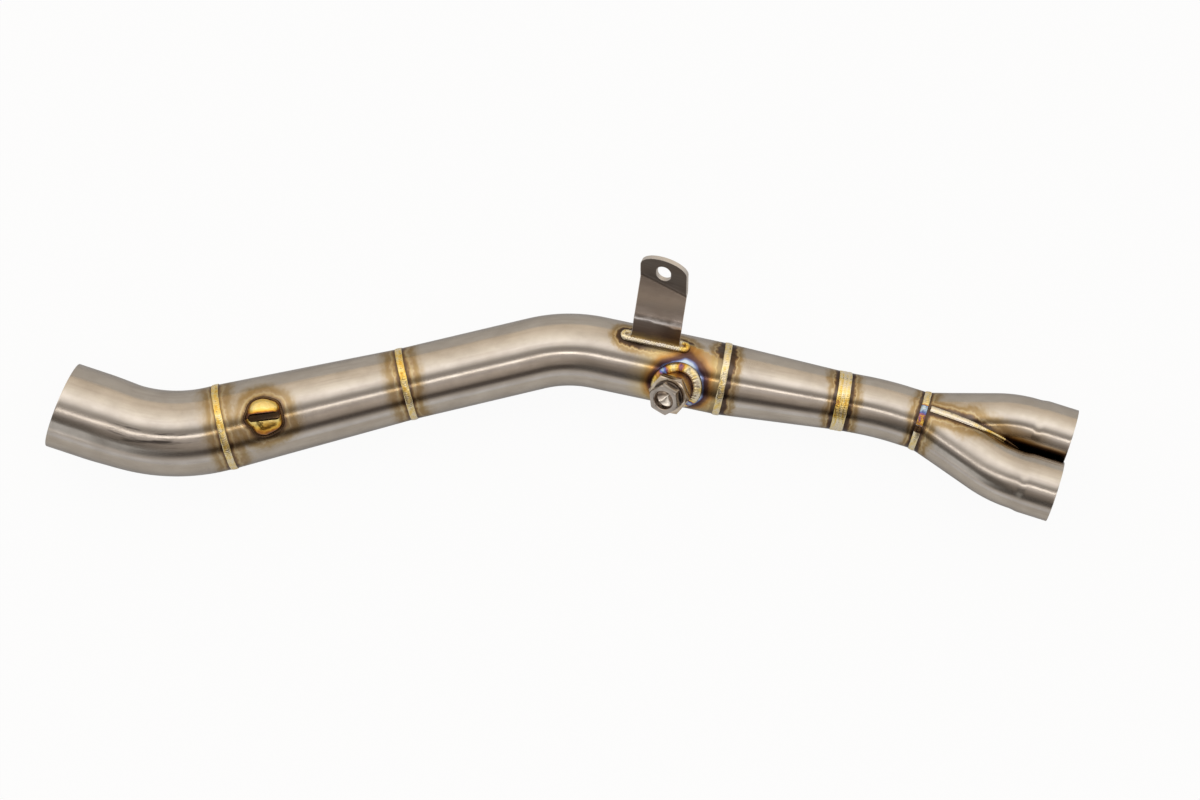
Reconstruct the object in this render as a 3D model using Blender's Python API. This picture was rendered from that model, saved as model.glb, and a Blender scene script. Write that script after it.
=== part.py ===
"""Exhaust y-pipe of a motorcycle, as a TIG-welded tube assembly.

Two inlet sockets merge in a collector, the neck widens through a cone into the main tube,
and a taper leads on to a slip-on outlet. The main tube carries a mount bracket and a hexagonal
sensor boss with its plug, and the taper carries a pressed spring hook. The pipe is laid out
flat along its own route, outlet first, and is then laid down as it comes to rest on a floor.
"""

import math
from collections import namedtuple

import bmesh
import bpy
from mathutils import Matrix, Vector

MM = 0.001

# Clearances and mesh fineness
GAP = 0.3 * MM                # between pieces that touch
TUBE_SIDES = 32               # flats round a tube
BEND_STEP = math.radians(4.5)  # turn between two rings of a bend
BOSS_SIDES = 36               # round the boss, in sixes so that its hexagon keeps its corners
PLUG_SIDES = 24               # round the plug, in sixes too
HOOK_SIDES = 28               # round the hook's dome
BEAD_SIDES = 8                # round a fillet's section

# Tubes
WALL = 1.2 * MM               # wall of every tube and cone
OUTLET_OD = 60.5 * MM         # outlet bend
SLIP_OD = 62.3 * MM           # its expanded end, which slips over the silencer's inlet
MAIN_OD = 50.8 * MM           # main tube
NECK_OD = 41.3 * MM           # collector neck and the tube of both inlet legs
SOCKET_OD = 43.0 * MM         # expanded end of each inlet leg

# Route from the outlet to the collector, in the plane of the pipe
OUTLET_ANGLE = math.radians(-18.4)   # heading of the outlet stub
OUTLET_TRIM = math.radians(-3.5)     # the outlet is cut this far off square
SLIP_LENGTH = 34.0 * MM
SLIP_TAPER = 10.0 * MM               # from the expanded end to the tube
OUTLET_BEND = math.radians(31.7)
OUTLET_BEND_RADIUS = 121.0 * MM
OUTLET_TAIL = 6.4 * MM               # straight after the bend
TAPER_LENGTH = 130.8 * MM
MID_LEAD = 93.6 * MM                 # straight before the middle bend
MID_BEND = math.radians(-25.3)
MID_BEND_RADIUS = 100.0 * MM
MID_TAIL = 88.6 * MM                 # straight after it
REDUCER_MITRE = math.radians(1.5)    # the cone is welded on at this small angle
REDUCER_LENGTH = 84.7 * MM

# Collector: the neck and both legs lie in a plane of their own
COLLECTOR_ROLL = math.radians(-28.0)  # that plane, turned about the pipe
NECK_LEAD = 14.0 * MM
NECK_BEND = math.radians(-8.0)
NECK_BEND_RADIUS = 210.0 * MM
NECK_TAIL = 14.0 * MM
LEG_SPREAD = math.radians(19.6)       # each leg leaves the neck at this angle
LEG_BEND_RADIUS = 75.0 * MM           # and bends back parallel to the neck
THROAT_LENGTH = 22.0 * MM             # over which a leg's section turns from the neck's to its own
LEG_TAIL = 1.3 * MM
SOCKET_STEP = 2.5 * MM                # from the leg's tube to its socket
SOCKET_LENGTH = 23.0 * MM
SOCKET_SPACE = 0.4 * MM               # between the two sockets

# Butt welds between the tubes
WELD_ROOT = 2.0 * MM          # width between the tube ends
WELD_CAP_WIDTH = 5.8 * MM
WELD_CAP_HEIGHT = 0.4 * MM
WIDE_CAP_WIDTH = 9.4 * MM     # the weld between cone and neck has several passes
SEAM_BEAD_WIDTH = 4.6 * MM    # weld between the two legs
SEAM_BEAD_CROWN = 1.3 * MM
SEAM_WEB = 7.0 * MM           # its crown over the crotch
SEAM_CROWDING = 1.6           # its sections stand closer towards the crotch

# Mount bracket
BRACKET_FROM_BEND = 37.0 * MM         # along the tube from the middle bend
BRACKET_ANGLE = math.radians(38.0)    # round the tube, from its front towards its top
BRACKET_WIDTH = 34.0 * MM
BRACKET_THICKNESS = 3.5 * MM
BRACKET_LEAN = math.radians(-3.0)     # slant of the strip over its foot
FOOT_LENGTH = 21.0 * MM               # foot to first fold
WEB_LENGTH = 19.0 * MM                # flat between the folds
HEAD_LENGTH = 22.0 * MM               # second fold to end
FOLD_RADIUS = 5.5 * MM                # to the middle of the sheet
FOOT_FOLD = math.radians(52.0)
HEAD_FOLD = math.radians(-50.0)
HEAD_FOLD_SKEW = math.radians(-15.0)  # the second fold runs oblique
FOOT_FLARE = 5.0 * MM                 # the foot widens by this at each side
HEAD_ROUND = 9.5 * MM                 # height of the rounded end
SLOT_WIDTH = 10.5 * MM
SLOT_LENGTH = 13.0 * MM
SLOT_FROM_END = 12.5 * MM             # centre of the slot to the end of the strip
BRACKET_BEAD_RADIUS = 2.2 * MM

# Sensor boss and its plug
BOSS_FROM_BEND = 57.9 * MM
BOSS_ANGLE = math.radians(29.0)       # round the tube, from its front towards its bottom
BOSS_TILT = math.radians(17.5)        # leans towards the outlet
BOSS_AF = 26.0 * MM                   # across flats of its top
BOSS_WALL_OD = 24.0 * MM              # round wall under the hexagon
BOSS_HEIGHT = 15.5 * MM
BOSS_HEX_HEIGHT = 6.0 * MM
BOSS_CHAMFER = 1.4 * MM
BOSS_TURN = math.radians(5.0)         # hexagon about its axis
BOSS_BEAD_RADIUS = 4.0 * MM
PLUG_THREAD = 18.0 * MM
PLUG_AF = 19.5 * MM
PLUG_HEAD = 7.0 * MM
PLUG_SHANK = 12.0 * MM
PLUG_CHAMFER = 0.9 * MM
PLUG_TURN = math.radians(-12.0)
PLUG_CUP = 13.6 * MM                  # drilled cup in the head
PLUG_CUP_DEPTH = 6.0 * MM
DRILL_POINT = math.radians(118.0)
DRILL_TIP = 0.05                      # flat at the drill's point, as a share of the cup
WASHER_OD = 22.0 * MM
WASHER_THICKNESS = 1.4 * MM

# Spring hook
HOOK_FROM_WELD = 31.0 * MM            # along the taper
HOOK_LENGTH = 23.6 * MM               # along the pipe
HOOK_BREADTH = 25.6 * MM              # round the pipe
HOOK_HEIGHT = 8.5 * MM
HOOK_WALL = 2.0 * MM
HOOK_TURN = math.radians(-7.0)
HOOK_SLOT = 5.6 * MM                  # width of the slot for the spring's end
HOOK_SLOT_END = 1.5 * MM              # left standing at each end of the slot
HOOK_BEAD_RADIUS = 1.6 * MM

Ring = namedtuple("Ring", "frame radius lean", defaults=(0.0,))
Metal = namedtuple("Metal", "name colour roughness")

BRUSHED = Metal("brushed_steel", (0.52, 0.47, 0.41), 0.32)
WELD = Metal("weld_bead", (0.62, 0.50, 0.26), 0.28)
HOOK_GOLD = Metal("heat_tinted_hook", (0.60, 0.43, 0.17), 0.26)
BRACKET_SHEET = Metal("bracket_sheet", (0.30, 0.26, 0.23), 0.35)
TURNED = Metal("turned_steel", (0.50, 0.45, 0.41), 0.28)
COPPER = Metal("crush_washer", (0.12, 0.10, 0.09), 0.50)


def clear_scene():
    """Remove whatever the scene holds."""
    for obj in list(bpy.data.objects):
        bpy.data.objects.remove(obj, do_unlink=True)


def material(metal):
    """The Principled material of one finish, made once."""
    found = bpy.data.materials.get(metal.name)
    if found:
        return found
    made = bpy.data.materials.new(metal.name)
    made.use_nodes = True
    shader = made.node_tree.nodes["Principled BSDF"]
    shader.inputs["Base Color"].default_value = (*metal.colour, 1.0)
    shader.inputs["Metallic"].default_value = 1.0
    shader.inputs["Roughness"].default_value = metal.roughness
    return made


# Mesh helpers


def add_object(name, mesh_data, frame, parent, metal=None):
    """Turn a bmesh into an object at a frame, as a part or, without a metal, as a cutter."""
    bmesh.ops.recalc_face_normals(mesh_data, faces=mesh_data.faces)
    mesh = bpy.data.meshes.new(name)
    mesh_data.to_mesh(mesh)
    mesh_data.free()
    mesh.shade_smooth()
    mesh.set_sharp_from_angle(angle=math.radians(32))
    obj = bpy.data.objects.new(name, mesh)
    bpy.context.scene.collection.objects.link(obj)
    obj.parent = parent
    obj.matrix_local = frame
    if metal:
        mesh.materials.append(material(metal))
    else:
        obj.hide_render = True
        obj.display_type = "WIRE"
    return obj


def loft(loops, closed=False):
    """Skin equal loops of points; closed joins the last loop to the first, else both are capped."""
    mesh_data = bmesh.new()
    rows = [[mesh_data.verts.new(point) for point in loop] for loop in loops]
    pairs = list(zip(rows, rows[1:]))
    if closed:
        pairs.append((rows[-1], rows[0]))
    else:
        mesh_data.faces.new(rows[0])
        mesh_data.faces.new(rows[-1])
    count = len(rows[0])
    for low, high in pairs:
        for i in range(count):
            j = (i + 1) % count
            mesh_data.faces.new((low[i], low[j], high[j], high[i]))
    return mesh_data


def subtract(obj, cutter):
    """Cut one object by another with an exact Boolean."""
    cut = obj.modifiers.new("cut_" + cutter.name, "BOOLEAN")
    cut.operation = "DIFFERENCE"
    cut.solver = "EXACT"
    cut.object = cutter


def circle(radius, sides, z=0.0):
    """Points of a circle about Z."""
    turns = [2 * math.pi * i / sides for i in range(sides)]
    return [Vector((radius * math.cos(t), radius * math.sin(t), z)) for t in turns]


def polar_outline(reach, sides, z):
    """Points about Z whose distance is reach(angle)."""
    turns = [2 * math.pi * i / sides for i in range(sides)]
    return [Vector((reach(t) * math.cos(t), reach(t) * math.sin(t), z)) for t in turns]


def hexagon_reach(across_flats, limit=math.inf):
    """Distance to the side of a hexagon at an angle, held inside a circle of radius limit."""

    def reach(angle):
        folded = angle % math.radians(60) - math.radians(30)
        return min(across_flats / 2 / math.cos(folded), limit)

    return reach


# Route helpers


def along(frame, distance):
    """The frame moved on along its own X axis."""
    return frame @ Matrix.Translation((distance, 0, 0))


def turned(frame, angle, axis):
    """The frame turned about one of its own axes."""
    return frame @ Matrix.Rotation(angle, 4, axis)


def arc(frame, angle, radius):
    """Frames round a bend in the frame's XY plane; a positive angle turns towards +Y."""
    centre = Vector((0, math.copysign(radius, angle), 0))
    steps = max(2, math.ceil(abs(angle) / BEND_STEP))
    frames = []
    for i in range(1, steps + 1):
        swing = Matrix.Rotation(angle * i / steps, 4, "Z")
        frames.append(frame @ Matrix.Translation(centre) @ swing @ Matrix.Translation(-centre))
    return frames


def ring_points(ring, inset=0.0):
    """Points of one ring of a tube; lean slants the ring as an off-square cut does."""
    radius = ring.radius - inset
    slope = math.tan(ring.lean)
    flat = circle(radius, TUBE_SIDES)
    return [ring.frame @ Vector((-p.x * slope, p.x, p.y)) for p in flat]


def add_tube(name, rings, parent):
    """A tube with the common wall, open at both ends."""
    outside = [ring_points(ring) for ring in rings]
    inside = [ring_points(ring, WALL) for ring in reversed(rings)]
    return add_object(name, loft(outside + inside, closed=True), Matrix(), parent, BRUSHED)


def add_envelope(name, rings, parent):
    """A cutter: the filled outer form of a tube, larger by the gap."""
    loops = [ring_points(ring, -GAP) for ring in rings]
    return add_object(name, loft(loops), Matrix(), parent)


def add_sweep(name, frames, section, parent, metal, frame=Matrix(), closed=False):
    """A section swept along frames; it lies in each frame's YZ plane."""
    loops = [[place @ Vector((0, y, z)) for y, z in section] for place in frames]
    return add_object(name, loft(loops, closed), frame, parent, metal)


def path_frames(points, up, closed=False):
    """Frames along a path, X on its tangent and Z as near as can be to up(point)."""
    frames = []
    count = len(points)
    for i, point in enumerate(points):
        before = points[i - 1] if closed or i else point
        after = points[(i + 1) % count] if closed or i < count - 1 else point
        x = (after - before).normalized()
        y = up(point).cross(x).normalized()
        z = x.cross(y)
        place = Matrix((x, y, z)).transposed().to_4x4()
        frames.append(Matrix.Translation(point) @ place)
    return frames


# The route of the pipe

END_BACK = WELD_ROOT / 2 + GAP        # a tube ends this far short of its joint


def outlet_route():
    """Rings of the outlet bend, and the joint at its end."""
    mouth = Matrix.Rotation(OUTLET_ANGLE, 4, "Z")
    bend_start = along(mouth, SLIP_LENGTH + SLIP_TAPER)
    bend = arc(bend_start, OUTLET_BEND, OUTLET_BEND_RADIUS)
    joint = along(bend[-1], OUTLET_TAIL)
    rings = [Ring(mouth, SLIP_OD / 2, OUTLET_TRIM)]
    rings += [Ring(along(mouth, SLIP_LENGTH), SLIP_OD / 2)]
    rings += [Ring(frame, OUTLET_OD / 2) for frame in [bend_start] + bend]
    rings += [Ring(along(joint, -END_BACK), OUTLET_OD / 2)]
    return rings, joint


def cone_route(joint, length, start_od, end_od, lean=0.0):
    """Rings of a cone between two joints, and the joint at its end."""
    end = along(joint, length)
    rings = [Ring(along(joint, END_BACK), start_od / 2, lean)]
    rings += [Ring(along(end, -END_BACK), end_od / 2)]
    return rings, end


def mid_route(joint):
    """Rings of the main tube, the frame where its bend ends, and the mitred joint at its end."""
    bend_start = along(joint, MID_LEAD)
    bend = arc(bend_start, MID_BEND, MID_BEND_RADIUS)
    end = along(bend[-1], MID_TAIL)
    rings = [Ring(along(joint, END_BACK), MAIN_OD / 2)]
    rings += [Ring(frame, MAIN_OD / 2) for frame in [bend_start] + bend]
    rings += [Ring(along(end, -END_BACK), MAIN_OD / 2, REDUCER_MITRE / 2)]
    return rings, bend[-1], turned(end, REDUCER_MITRE / 2, "Z")


def neck_route(joint):
    """Rings of the collector neck, and the joint at its end."""
    bend_start = along(joint, NECK_LEAD)
    bend = arc(bend_start, NECK_BEND, NECK_BEND_RADIUS)
    end = along(bend[-1], NECK_TAIL)
    rings = [Ring(along(joint, END_BACK), NECK_OD / 2)]
    rings += [Ring(frame, NECK_OD / 2) for frame in [bend_start] + bend]
    rings += [Ring(along(end, -END_BACK), NECK_OD / 2)]
    return rings, end


# The two-into-one collector

LEG_RADIUS = NECK_OD / 2
SOCKET_OFFSET = (SOCKET_OD + SOCKET_SPACE) / 2
BEND_OFFSET = (LEG_BEND_RADIUS + LEG_RADIUS) * (1 - math.cos(LEG_SPREAD))
LEG_RUN = (SOCKET_OFFSET - BEND_OFFSET) / math.sin(LEG_SPREAD)
LEG_LENGTH = LEG_RUN + LEG_BEND_RADIUS * LEG_SPREAD


def leg_station(distance):
    """Centre and heading of the upper leg's ring at a distance along its run and bend.

    The first ring is the neck's own circle. Along the throat the rings turn about the outer side
    of the leg, which leaves the neck as a straight line at the full spread.
    """
    if distance > LEG_RUN:
        heading = LEG_SPREAD - (distance - LEG_RUN) / LEG_BEND_RADIUS
        arm = LEG_BEND_RADIUS + LEG_RADIUS
        forward = LEG_RUN * math.cos(LEG_SPREAD) + arm * math.sin(LEG_SPREAD)
        aside = LEG_RUN * math.sin(LEG_SPREAD) + arm * (1 - math.cos(LEG_SPREAD))
        forward -= LEG_BEND_RADIUS * math.sin(heading)
        aside -= LEG_BEND_RADIUS * (1 - math.cos(heading))
        return Vector((forward, aside, 0)), heading
    share = min(distance / THROAT_LENGTH, 1.0)
    heading = LEG_SPREAD * share * share * (3 - 2 * share)
    forward = distance * math.cos(LEG_SPREAD) + LEG_RADIUS * math.sin(heading)
    aside = distance * math.sin(LEG_SPREAD) + LEG_RADIUS * (1 - math.cos(heading))
    return Vector((forward, aside, 0)), heading


def leg_rings(side):
    """Rings of one inlet leg in the collector's frame; side is 1 for the upper, -1 for the lower."""
    throat_steps = 5
    bend_steps = math.ceil(LEG_SPREAD / BEND_STEP)
    distances = [END_BACK / math.cos(LEG_SPREAD)]
    distances += [THROAT_LENGTH * i / throat_steps for i in range(1, throat_steps + 1)]
    distances += [LEG_RUN + (LEG_LENGTH - LEG_RUN) * i / bend_steps for i in range(bend_steps + 1)]
    rings = []
    for distance in distances:
        centre, heading = leg_station(distance)
        place = Matrix.Translation((centre.x, side * centre.y, 0))
        rings.append(Ring(turned(place, side * heading, "Z"), LEG_RADIUS))
    parallel = rings[-1].frame
    socket = LEG_TAIL + SOCKET_STEP
    rings.append(Ring(along(parallel, LEG_TAIL), LEG_RADIUS))
    rings.append(Ring(along(parallel, socket), SOCKET_OD / 2))
    rings.append(Ring(along(parallel, socket + SOCKET_LENGTH), SOCKET_OD / 2))
    return rings


def add_leg(name, side, collector, parent):
    """One inlet leg, mitred on the plane where it meets the other."""
    rings = [Ring(collector @ r.frame, r.radius) for r in leg_rings(side)]
    leg = add_tube(name, rings, parent)
    reach = 2 * LEG_LENGTH
    low, high = sorted((side * GAP / 2, -side * 2 * NECK_OD))
    corners = [(low, -NECK_OD), (high, -NECK_OD), (high, NECK_OD), (low, NECK_OD)]
    loops = [[Vector((x, y, z)) for y, z in corners] for x in (-NECK_OD, reach)]
    mitre = add_object(name + "_mitre", loft(loops), collector, parent)
    subtract(leg, mitre)
    return leg, rings


def crease_offset(distance):
    """Half width that the leg's ring has to have to reach the mitre plane at this distance."""
    centre, heading = leg_station(distance)
    return centre.y / math.cos(heading)


def crease_station(turn):
    """Point of the crease at a turn round the leg, the heading of the leg's ring there."""
    low, high = 0.0, LEG_LENGTH
    for _ in range(40):
        middle = (low + high) / 2
        if crease_offset(middle) < LEG_RADIUS * math.sin(turn):
            low = middle
        else:
            high = middle
    centre, heading = leg_station(low)
    forward = centre.x + centre.y * math.tan(heading)
    return Vector((forward, 0, LEG_RADIUS * math.cos(turn))), heading


def add_seam_weld(collector, legs, parent):
    """The bead down the front crease, round the crotch and up the rear one, cut to both legs.

    The legs part at a very small angle in the crotch, so the bead's crown moves outwards there
    until it fills the space between them as a web.
    """
    near = (WELD_CAP_WIDTH / 2 + SEAM_BEAD_CROWN) / math.cos(LEG_SPREAD)
    span = math.radians(90) - math.asin(crease_offset(near) / LEG_RADIUS)
    steps = 15
    loops = []
    for i in range(-steps, steps + 1):
        share = i / steps
        turn = math.radians(90) + math.copysign(abs(share) ** SEAM_CROWDING, share) * span
        point, heading = crease_station(turn)
        outward = Vector((math.sin(heading) * math.sin(turn), 0, math.cos(turn))).normalized()
        crown = SEAM_BEAD_CROWN + (SEAM_WEB - SEAM_BEAD_CROWN) * outward.x ** 2
        centre = point + outward * (crown - SEAM_BEAD_CROWN) / 2
        height = (crown + SEAM_BEAD_CROWN) / 2
        aside = Vector((0, SEAM_BEAD_WIDTH / 2, 0))
        section = circle(1.0, BEAD_SIDES)
        loops.append([centre + outward * height * p.x + aside * p.y for p in section])
    weld = add_object("merge_seam_weld", loft(loops), collector, parent, WELD)
    for name, rings in legs:
        subtract(weld, add_envelope(name + "_envelope", rings, parent))
    return weld


# Butt welds


def cone_slope(length, start_od, end_od):
    """Change of a cone's radius along it."""
    return (end_od - start_od) / 2 / length


def joint_surface(diameter, before=0.0, after=0.0):
    """Outer radius beside a joint, at x along the pipe, from the slopes on both sides of it."""
    return lambda x, turn: diameter / 2 + x * (before if x < 0 else after)


def collector_surface(x, turn):
    """Outer radius beside the collector's joint, where the two legs leave the neck sideways."""
    centre, _ = leg_station(max(x, 0.0) / math.cos(LEG_SPREAD))
    across = centre.y * math.sin(turn)
    return centre.y * abs(math.cos(turn)) + math.sqrt(LEG_RADIUS ** 2 - across ** 2)


def add_butt_weld(name, joint, surface, parent, cap_width=WELD_CAP_WIDTH):
    """A ring between two tube ends: a root the full depth of the wall under a crowned cap."""
    root = WELD_ROOT / 2
    profile = [(-root, GAP), (-root, -WALL), (root, -WALL), (root, GAP)]
    cap_steps = 4
    for i in range(cap_steps + 1):
        turn = math.pi * i / cap_steps
        profile.append((cap_width / 2 * math.cos(turn), GAP + WELD_CAP_HEIGHT * math.sin(turn)))
    loops = []
    for x, lift in profile:
        loop = []
        for direction in circle(1.0, TUBE_SIDES):
            turn = math.atan2(direction.y, direction.x)
            radius = lift + surface(x if lift > 0 else 0.0, turn)
            loop.append(Vector((x, direction.x * radius, direction.y * radius)))
        loops.append(loop)
    return add_object(name, loft(loops, closed=True), joint, parent, WELD)


# Mount bracket

FOLD_STEPS = 4


def bracket_outline():
    """Outline of the flat strip: flared foot, straight sides and a rounded head."""
    half = BRACKET_WIDTH / 2
    fold_lengths = FOLD_RADIUS * (abs(FOOT_FOLD) + abs(HEAD_FOLD))
    height = FOOT_LENGTH + WEB_LENGTH + HEAD_LENGTH + fold_lengths
    steps = 5
    right = []
    for i in range(steps + 1):
        turn = math.radians(90) * i / steps
        flare = FOOT_FLARE * (1 - math.sin(turn))
        right.append((half + flare, FOOT_FLARE * (1 - math.cos(turn))))
    steps = 8
    for i in range(steps + 1):
        turn = math.radians(90) * i / steps
        right.append((half * math.cos(turn), height - HEAD_ROUND * (1 - math.sin(turn))))
    left = [(-x, y) for x, y in reversed(right[:-1])]
    slant = math.tan(BRACKET_LEAN)
    return [Vector((x + y * slant, 0, y)) for x, y in right + left], height


def slot_outline(height):
    """Outline of the bolt slot, its round ends up and down the strip."""
    centre = Vector((0, 0, height - SLOT_FROM_END))
    centre.x = centre.z * math.tan(BRACKET_LEAN)
    radius = SLOT_WIDTH / 2
    lift = SLOT_LENGTH / 2 - radius
    points = []
    steps = 8
    for start, shift in ((0, lift), (180, -lift)):
        for i in range(steps + 1):
            turn = math.radians(start + 180 * i / steps)
            points.append(centre + Vector((radius * math.cos(turn), 0, radius * math.sin(turn) + shift)))
    return points


def fold_point(point, height, skew, angle):
    """A point of the sheet after a fold that starts at a height and runs at a skew."""
    line = Vector((math.cos(skew), 0, math.sin(skew)))
    beyond = Vector((-math.sin(skew), 0, math.cos(skew)))
    outward = Vector((0, math.copysign(1, angle), 0))
    start = Vector((0, 0, height))
    distance = (point - start).dot(beyond)
    if distance <= 0:
        return point
    arc_length = FOLD_RADIUS * abs(angle)
    turn = min(distance, arc_length) / FOLD_RADIUS
    rest = max(distance - arc_length, 0)
    ahead = math.cos(turn) * beyond + math.sin(turn) * outward
    across = math.cos(turn) * outward - math.sin(turn) * beyond
    curl = FOLD_RADIUS * (math.sin(turn) * beyond + (1 - math.cos(turn)) * outward)
    side = line * (point - start).dot(line)
    return start + side + curl + ahead * rest + across * (point - start).dot(outward)


def add_bracket(foot, parent):
    """The folded strip that stands on the tube and holds the pipe by its slot."""
    outline, height = bracket_outline()
    mesh_data = bmesh.new()
    for loop in (outline, slot_outline(height)):
        verts = [mesh_data.verts.new(point) for point in loop]
        for one, other in zip(verts, verts[1:] + verts[:1]):
            mesh_data.edges.new((one, other))
    bmesh.ops.triangle_fill(mesh_data, use_beauty=True, edges=mesh_data.edges, normal=(0, -1, 0))
    head_start = FOOT_LENGTH + FOLD_RADIUS * abs(FOOT_FOLD) + WEB_LENGTH
    folds = [(head_start, HEAD_FOLD_SKEW, HEAD_FOLD), (FOOT_LENGTH, 0.0, FOOT_FOLD)]
    for start, skew, angle in folds:
        beyond = Vector((-math.sin(skew), 0, math.cos(skew)))
        for i in range(FOLD_STEPS + 1):
            place = Vector((0, 0, start)) + beyond * FOLD_RADIUS * abs(angle) * i / FOLD_STEPS
            everything = mesh_data.verts[:] + mesh_data.edges[:] + mesh_data.faces[:]
            bmesh.ops.bisect_plane(mesh_data, geom=everything, plane_co=place, plane_no=beyond, dist=1e-7)
    for vert in mesh_data.verts:
        for fold in folds:
            vert.co = fold_point(vert.co, *fold)
    bracket = add_object("mount_bracket", mesh_data, foot, parent, BRACKET_SHEET)
    sheet = bracket.modifiers.new("sheet", "SOLIDIFY")
    sheet.thickness = BRACKET_THICKNESS
    sheet.offset = 0.0
    sheet.use_even_offset = True
    return bracket


def add_bracket_weld(foot, tube, parent):
    """The fillet that runs right round the foot of the bracket."""
    half_length = BRACKET_WIDTH / 2 + FOOT_FLARE + BRACKET_BEAD_RADIUS / 2
    half_width = BRACKET_THICKNESS / 2 + BRACKET_BEAD_RADIUS / 2
    points = []
    steps = 7
    for side in (1, -1):
        for i in range(steps + 1):
            turn = math.radians(-90 + 180 * i / steps)
            x = half_length - half_width + half_width * math.cos(turn)
            y = half_width * math.sin(turn)
            drop = math.sqrt((MAIN_OD / 2) ** 2 - y * y) - MAIN_OD / 2 - GAP
            points.append(Vector((side * x, side * y, drop)))
    frames = path_frames(points, lambda point: Vector((0, 0, 1)), closed=True)
    section = [(p.x, p.y) for p in circle(BRACKET_BEAD_RADIUS, BEAD_SIDES)]
    weld = add_sweep("bracket_weld", frames, section, parent, WELD, foot, closed=True)
    subtract(weld, tube)
    length = BRACKET_WIDTH / 2 + FOOT_FLARE + GAP
    width = BRACKET_THICKNESS / 2 + GAP
    corners = [(-length, -width), (length, -width), (length, width), (-length, width)]
    loops = [[Vector((x, y, z)) for x, y in corners] for z in (-FOOT_FLARE, FOOT_FLARE)]
    subtract(weld, add_object("bracket_foot_envelope", loft(loops), foot, parent))
    return weld


# Sensor boss, plug and washer


def drop_to_tube(place, x, y, radius):
    """Height in a frame beside the tube at which its axis direction meets the tube at x, y.

    The place is given in the tube's own frame, whose X axis is the tube's centreline; radius is
    the tube's radius at a distance along it.
    """
    point = place @ Vector((x, y, 0))
    ray = place.to_3x3() @ Vector((0, 0, 1))
    height = 0.0
    for _ in range(6):
        size = radius((point + ray * height).x)
        flat_ray = Vector((ray.y, ray.z))
        flat_point = Vector((point.y, point.z))
        a = flat_ray.dot(flat_ray)
        b = flat_ray.dot(flat_point)
        c = flat_point.dot(flat_point) - size * size
        height = (-b + math.sqrt(max(b * b - a * c, 0.0))) / a
    return height


def boss_place():
    """The boss in the frame of the straight tube: origin on its surface, +Z outwards."""
    round_tube = Matrix.Rotation(BOSS_ANGLE, 4, "X")
    lift = Matrix.Translation((0, 0, MAIN_OD / 2))
    return round_tube @ lift @ Matrix.Rotation(-BOSS_TILT, 4, "Y")


def hex_loops(across_flats, bottom, top, chamfer, sides):
    """Loops of a hexagonal prism whose upper corners are turned down."""
    body = hexagon_reach(across_flats)
    face = hexagon_reach(across_flats, across_flats / 2)
    return [polar_outline(body, sides, bottom), polar_outline(body, sides, top - chamfer),
            polar_outline(face, sides, top)]


def boss_foot():
    """How far below the boss's frame its saddle can reach."""
    radius = BOSS_WALL_OD / 2
    sag = MAIN_OD / 2 - math.sqrt((MAIN_OD / 2) ** 2 - radius ** 2)
    return sag + radius * math.tan(BOSS_TILT) + WALL


def add_boss(frame, tube, parent):
    """The weld-on boss with its thread bore, its foot cut to the tube like a saddle."""
    bore = PLUG_THREAD / 2 + GAP
    lead = BOSS_CHAMFER / 2
    bottom = -boss_foot()
    shoulder = BOSS_HEIGHT - BOSS_HEX_HEIGHT
    loops = [circle(BOSS_WALL_OD / 2, BOSS_SIDES, z) for z in (bottom, shoulder)]
    loops += hex_loops(BOSS_AF, shoulder, BOSS_HEIGHT, BOSS_CHAMFER, BOSS_SIDES)
    loops += [circle(bore + lead, BOSS_SIDES, BOSS_HEIGHT)]
    loops += [circle(bore, BOSS_SIDES, z) for z in (BOSS_HEIGHT - lead, bottom)]
    place = turned(frame, BOSS_TURN, "Z")
    boss = add_object("sensor_boss", loft(loops, closed=True), place, parent, TURNED)
    subtract(boss, tube)
    port_loops = [circle(bore, PLUG_SIDES, z) for z in (2 * bottom, BOSS_HEIGHT / 2)]
    return add_object("sensor_port", loft(port_loops), frame, parent)


def add_boss_weld(frame, tube, parent):
    """The fillet round the boss's wall, cut to the tube and to the wall."""
    radius = BOSS_WALL_OD / 2 + GAP
    place = boss_place()
    points = []
    for point in circle(radius, BOSS_SIDES):
        height = drop_to_tube(place, point.x, point.y, lambda x: MAIN_OD / 2)
        points.append(Vector((point.x, point.y, height)))
    frames = path_frames(points, lambda point: Vector((0, 0, 1)), closed=True)
    section = [(p.x, p.y) for p in circle(BOSS_BEAD_RADIUS, BEAD_SIDES)]
    weld = add_sweep("boss_weld", frames, section, parent, WELD, frame, closed=True)
    subtract(weld, tube)
    loops = [circle(radius, BOSS_SIDES, z) for z in (-2 * boss_foot(), BOSS_HEIGHT)]
    subtract(weld, add_object("boss_wall_envelope", loft(loops), frame, parent))
    return weld


def add_washer(frame, parent):
    """The crush washer under the plug's head."""
    low = BOSS_HEIGHT + GAP
    high = low + WASHER_THICKNESS
    bore = PLUG_THREAD / 2 + GAP
    edge = WASHER_THICKNESS / 4
    profile = [(WASHER_OD / 2 - edge, low), (WASHER_OD / 2, low + edge), (WASHER_OD / 2, high - edge),
               (WASHER_OD / 2 - edge, high), (bore, high), (bore, low)]
    loops = [circle(radius, BOSS_SIDES, z) for radius, z in profile]
    return add_object("plug_washer", loft(loops, closed=True), frame, parent, COPPER)


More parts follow.
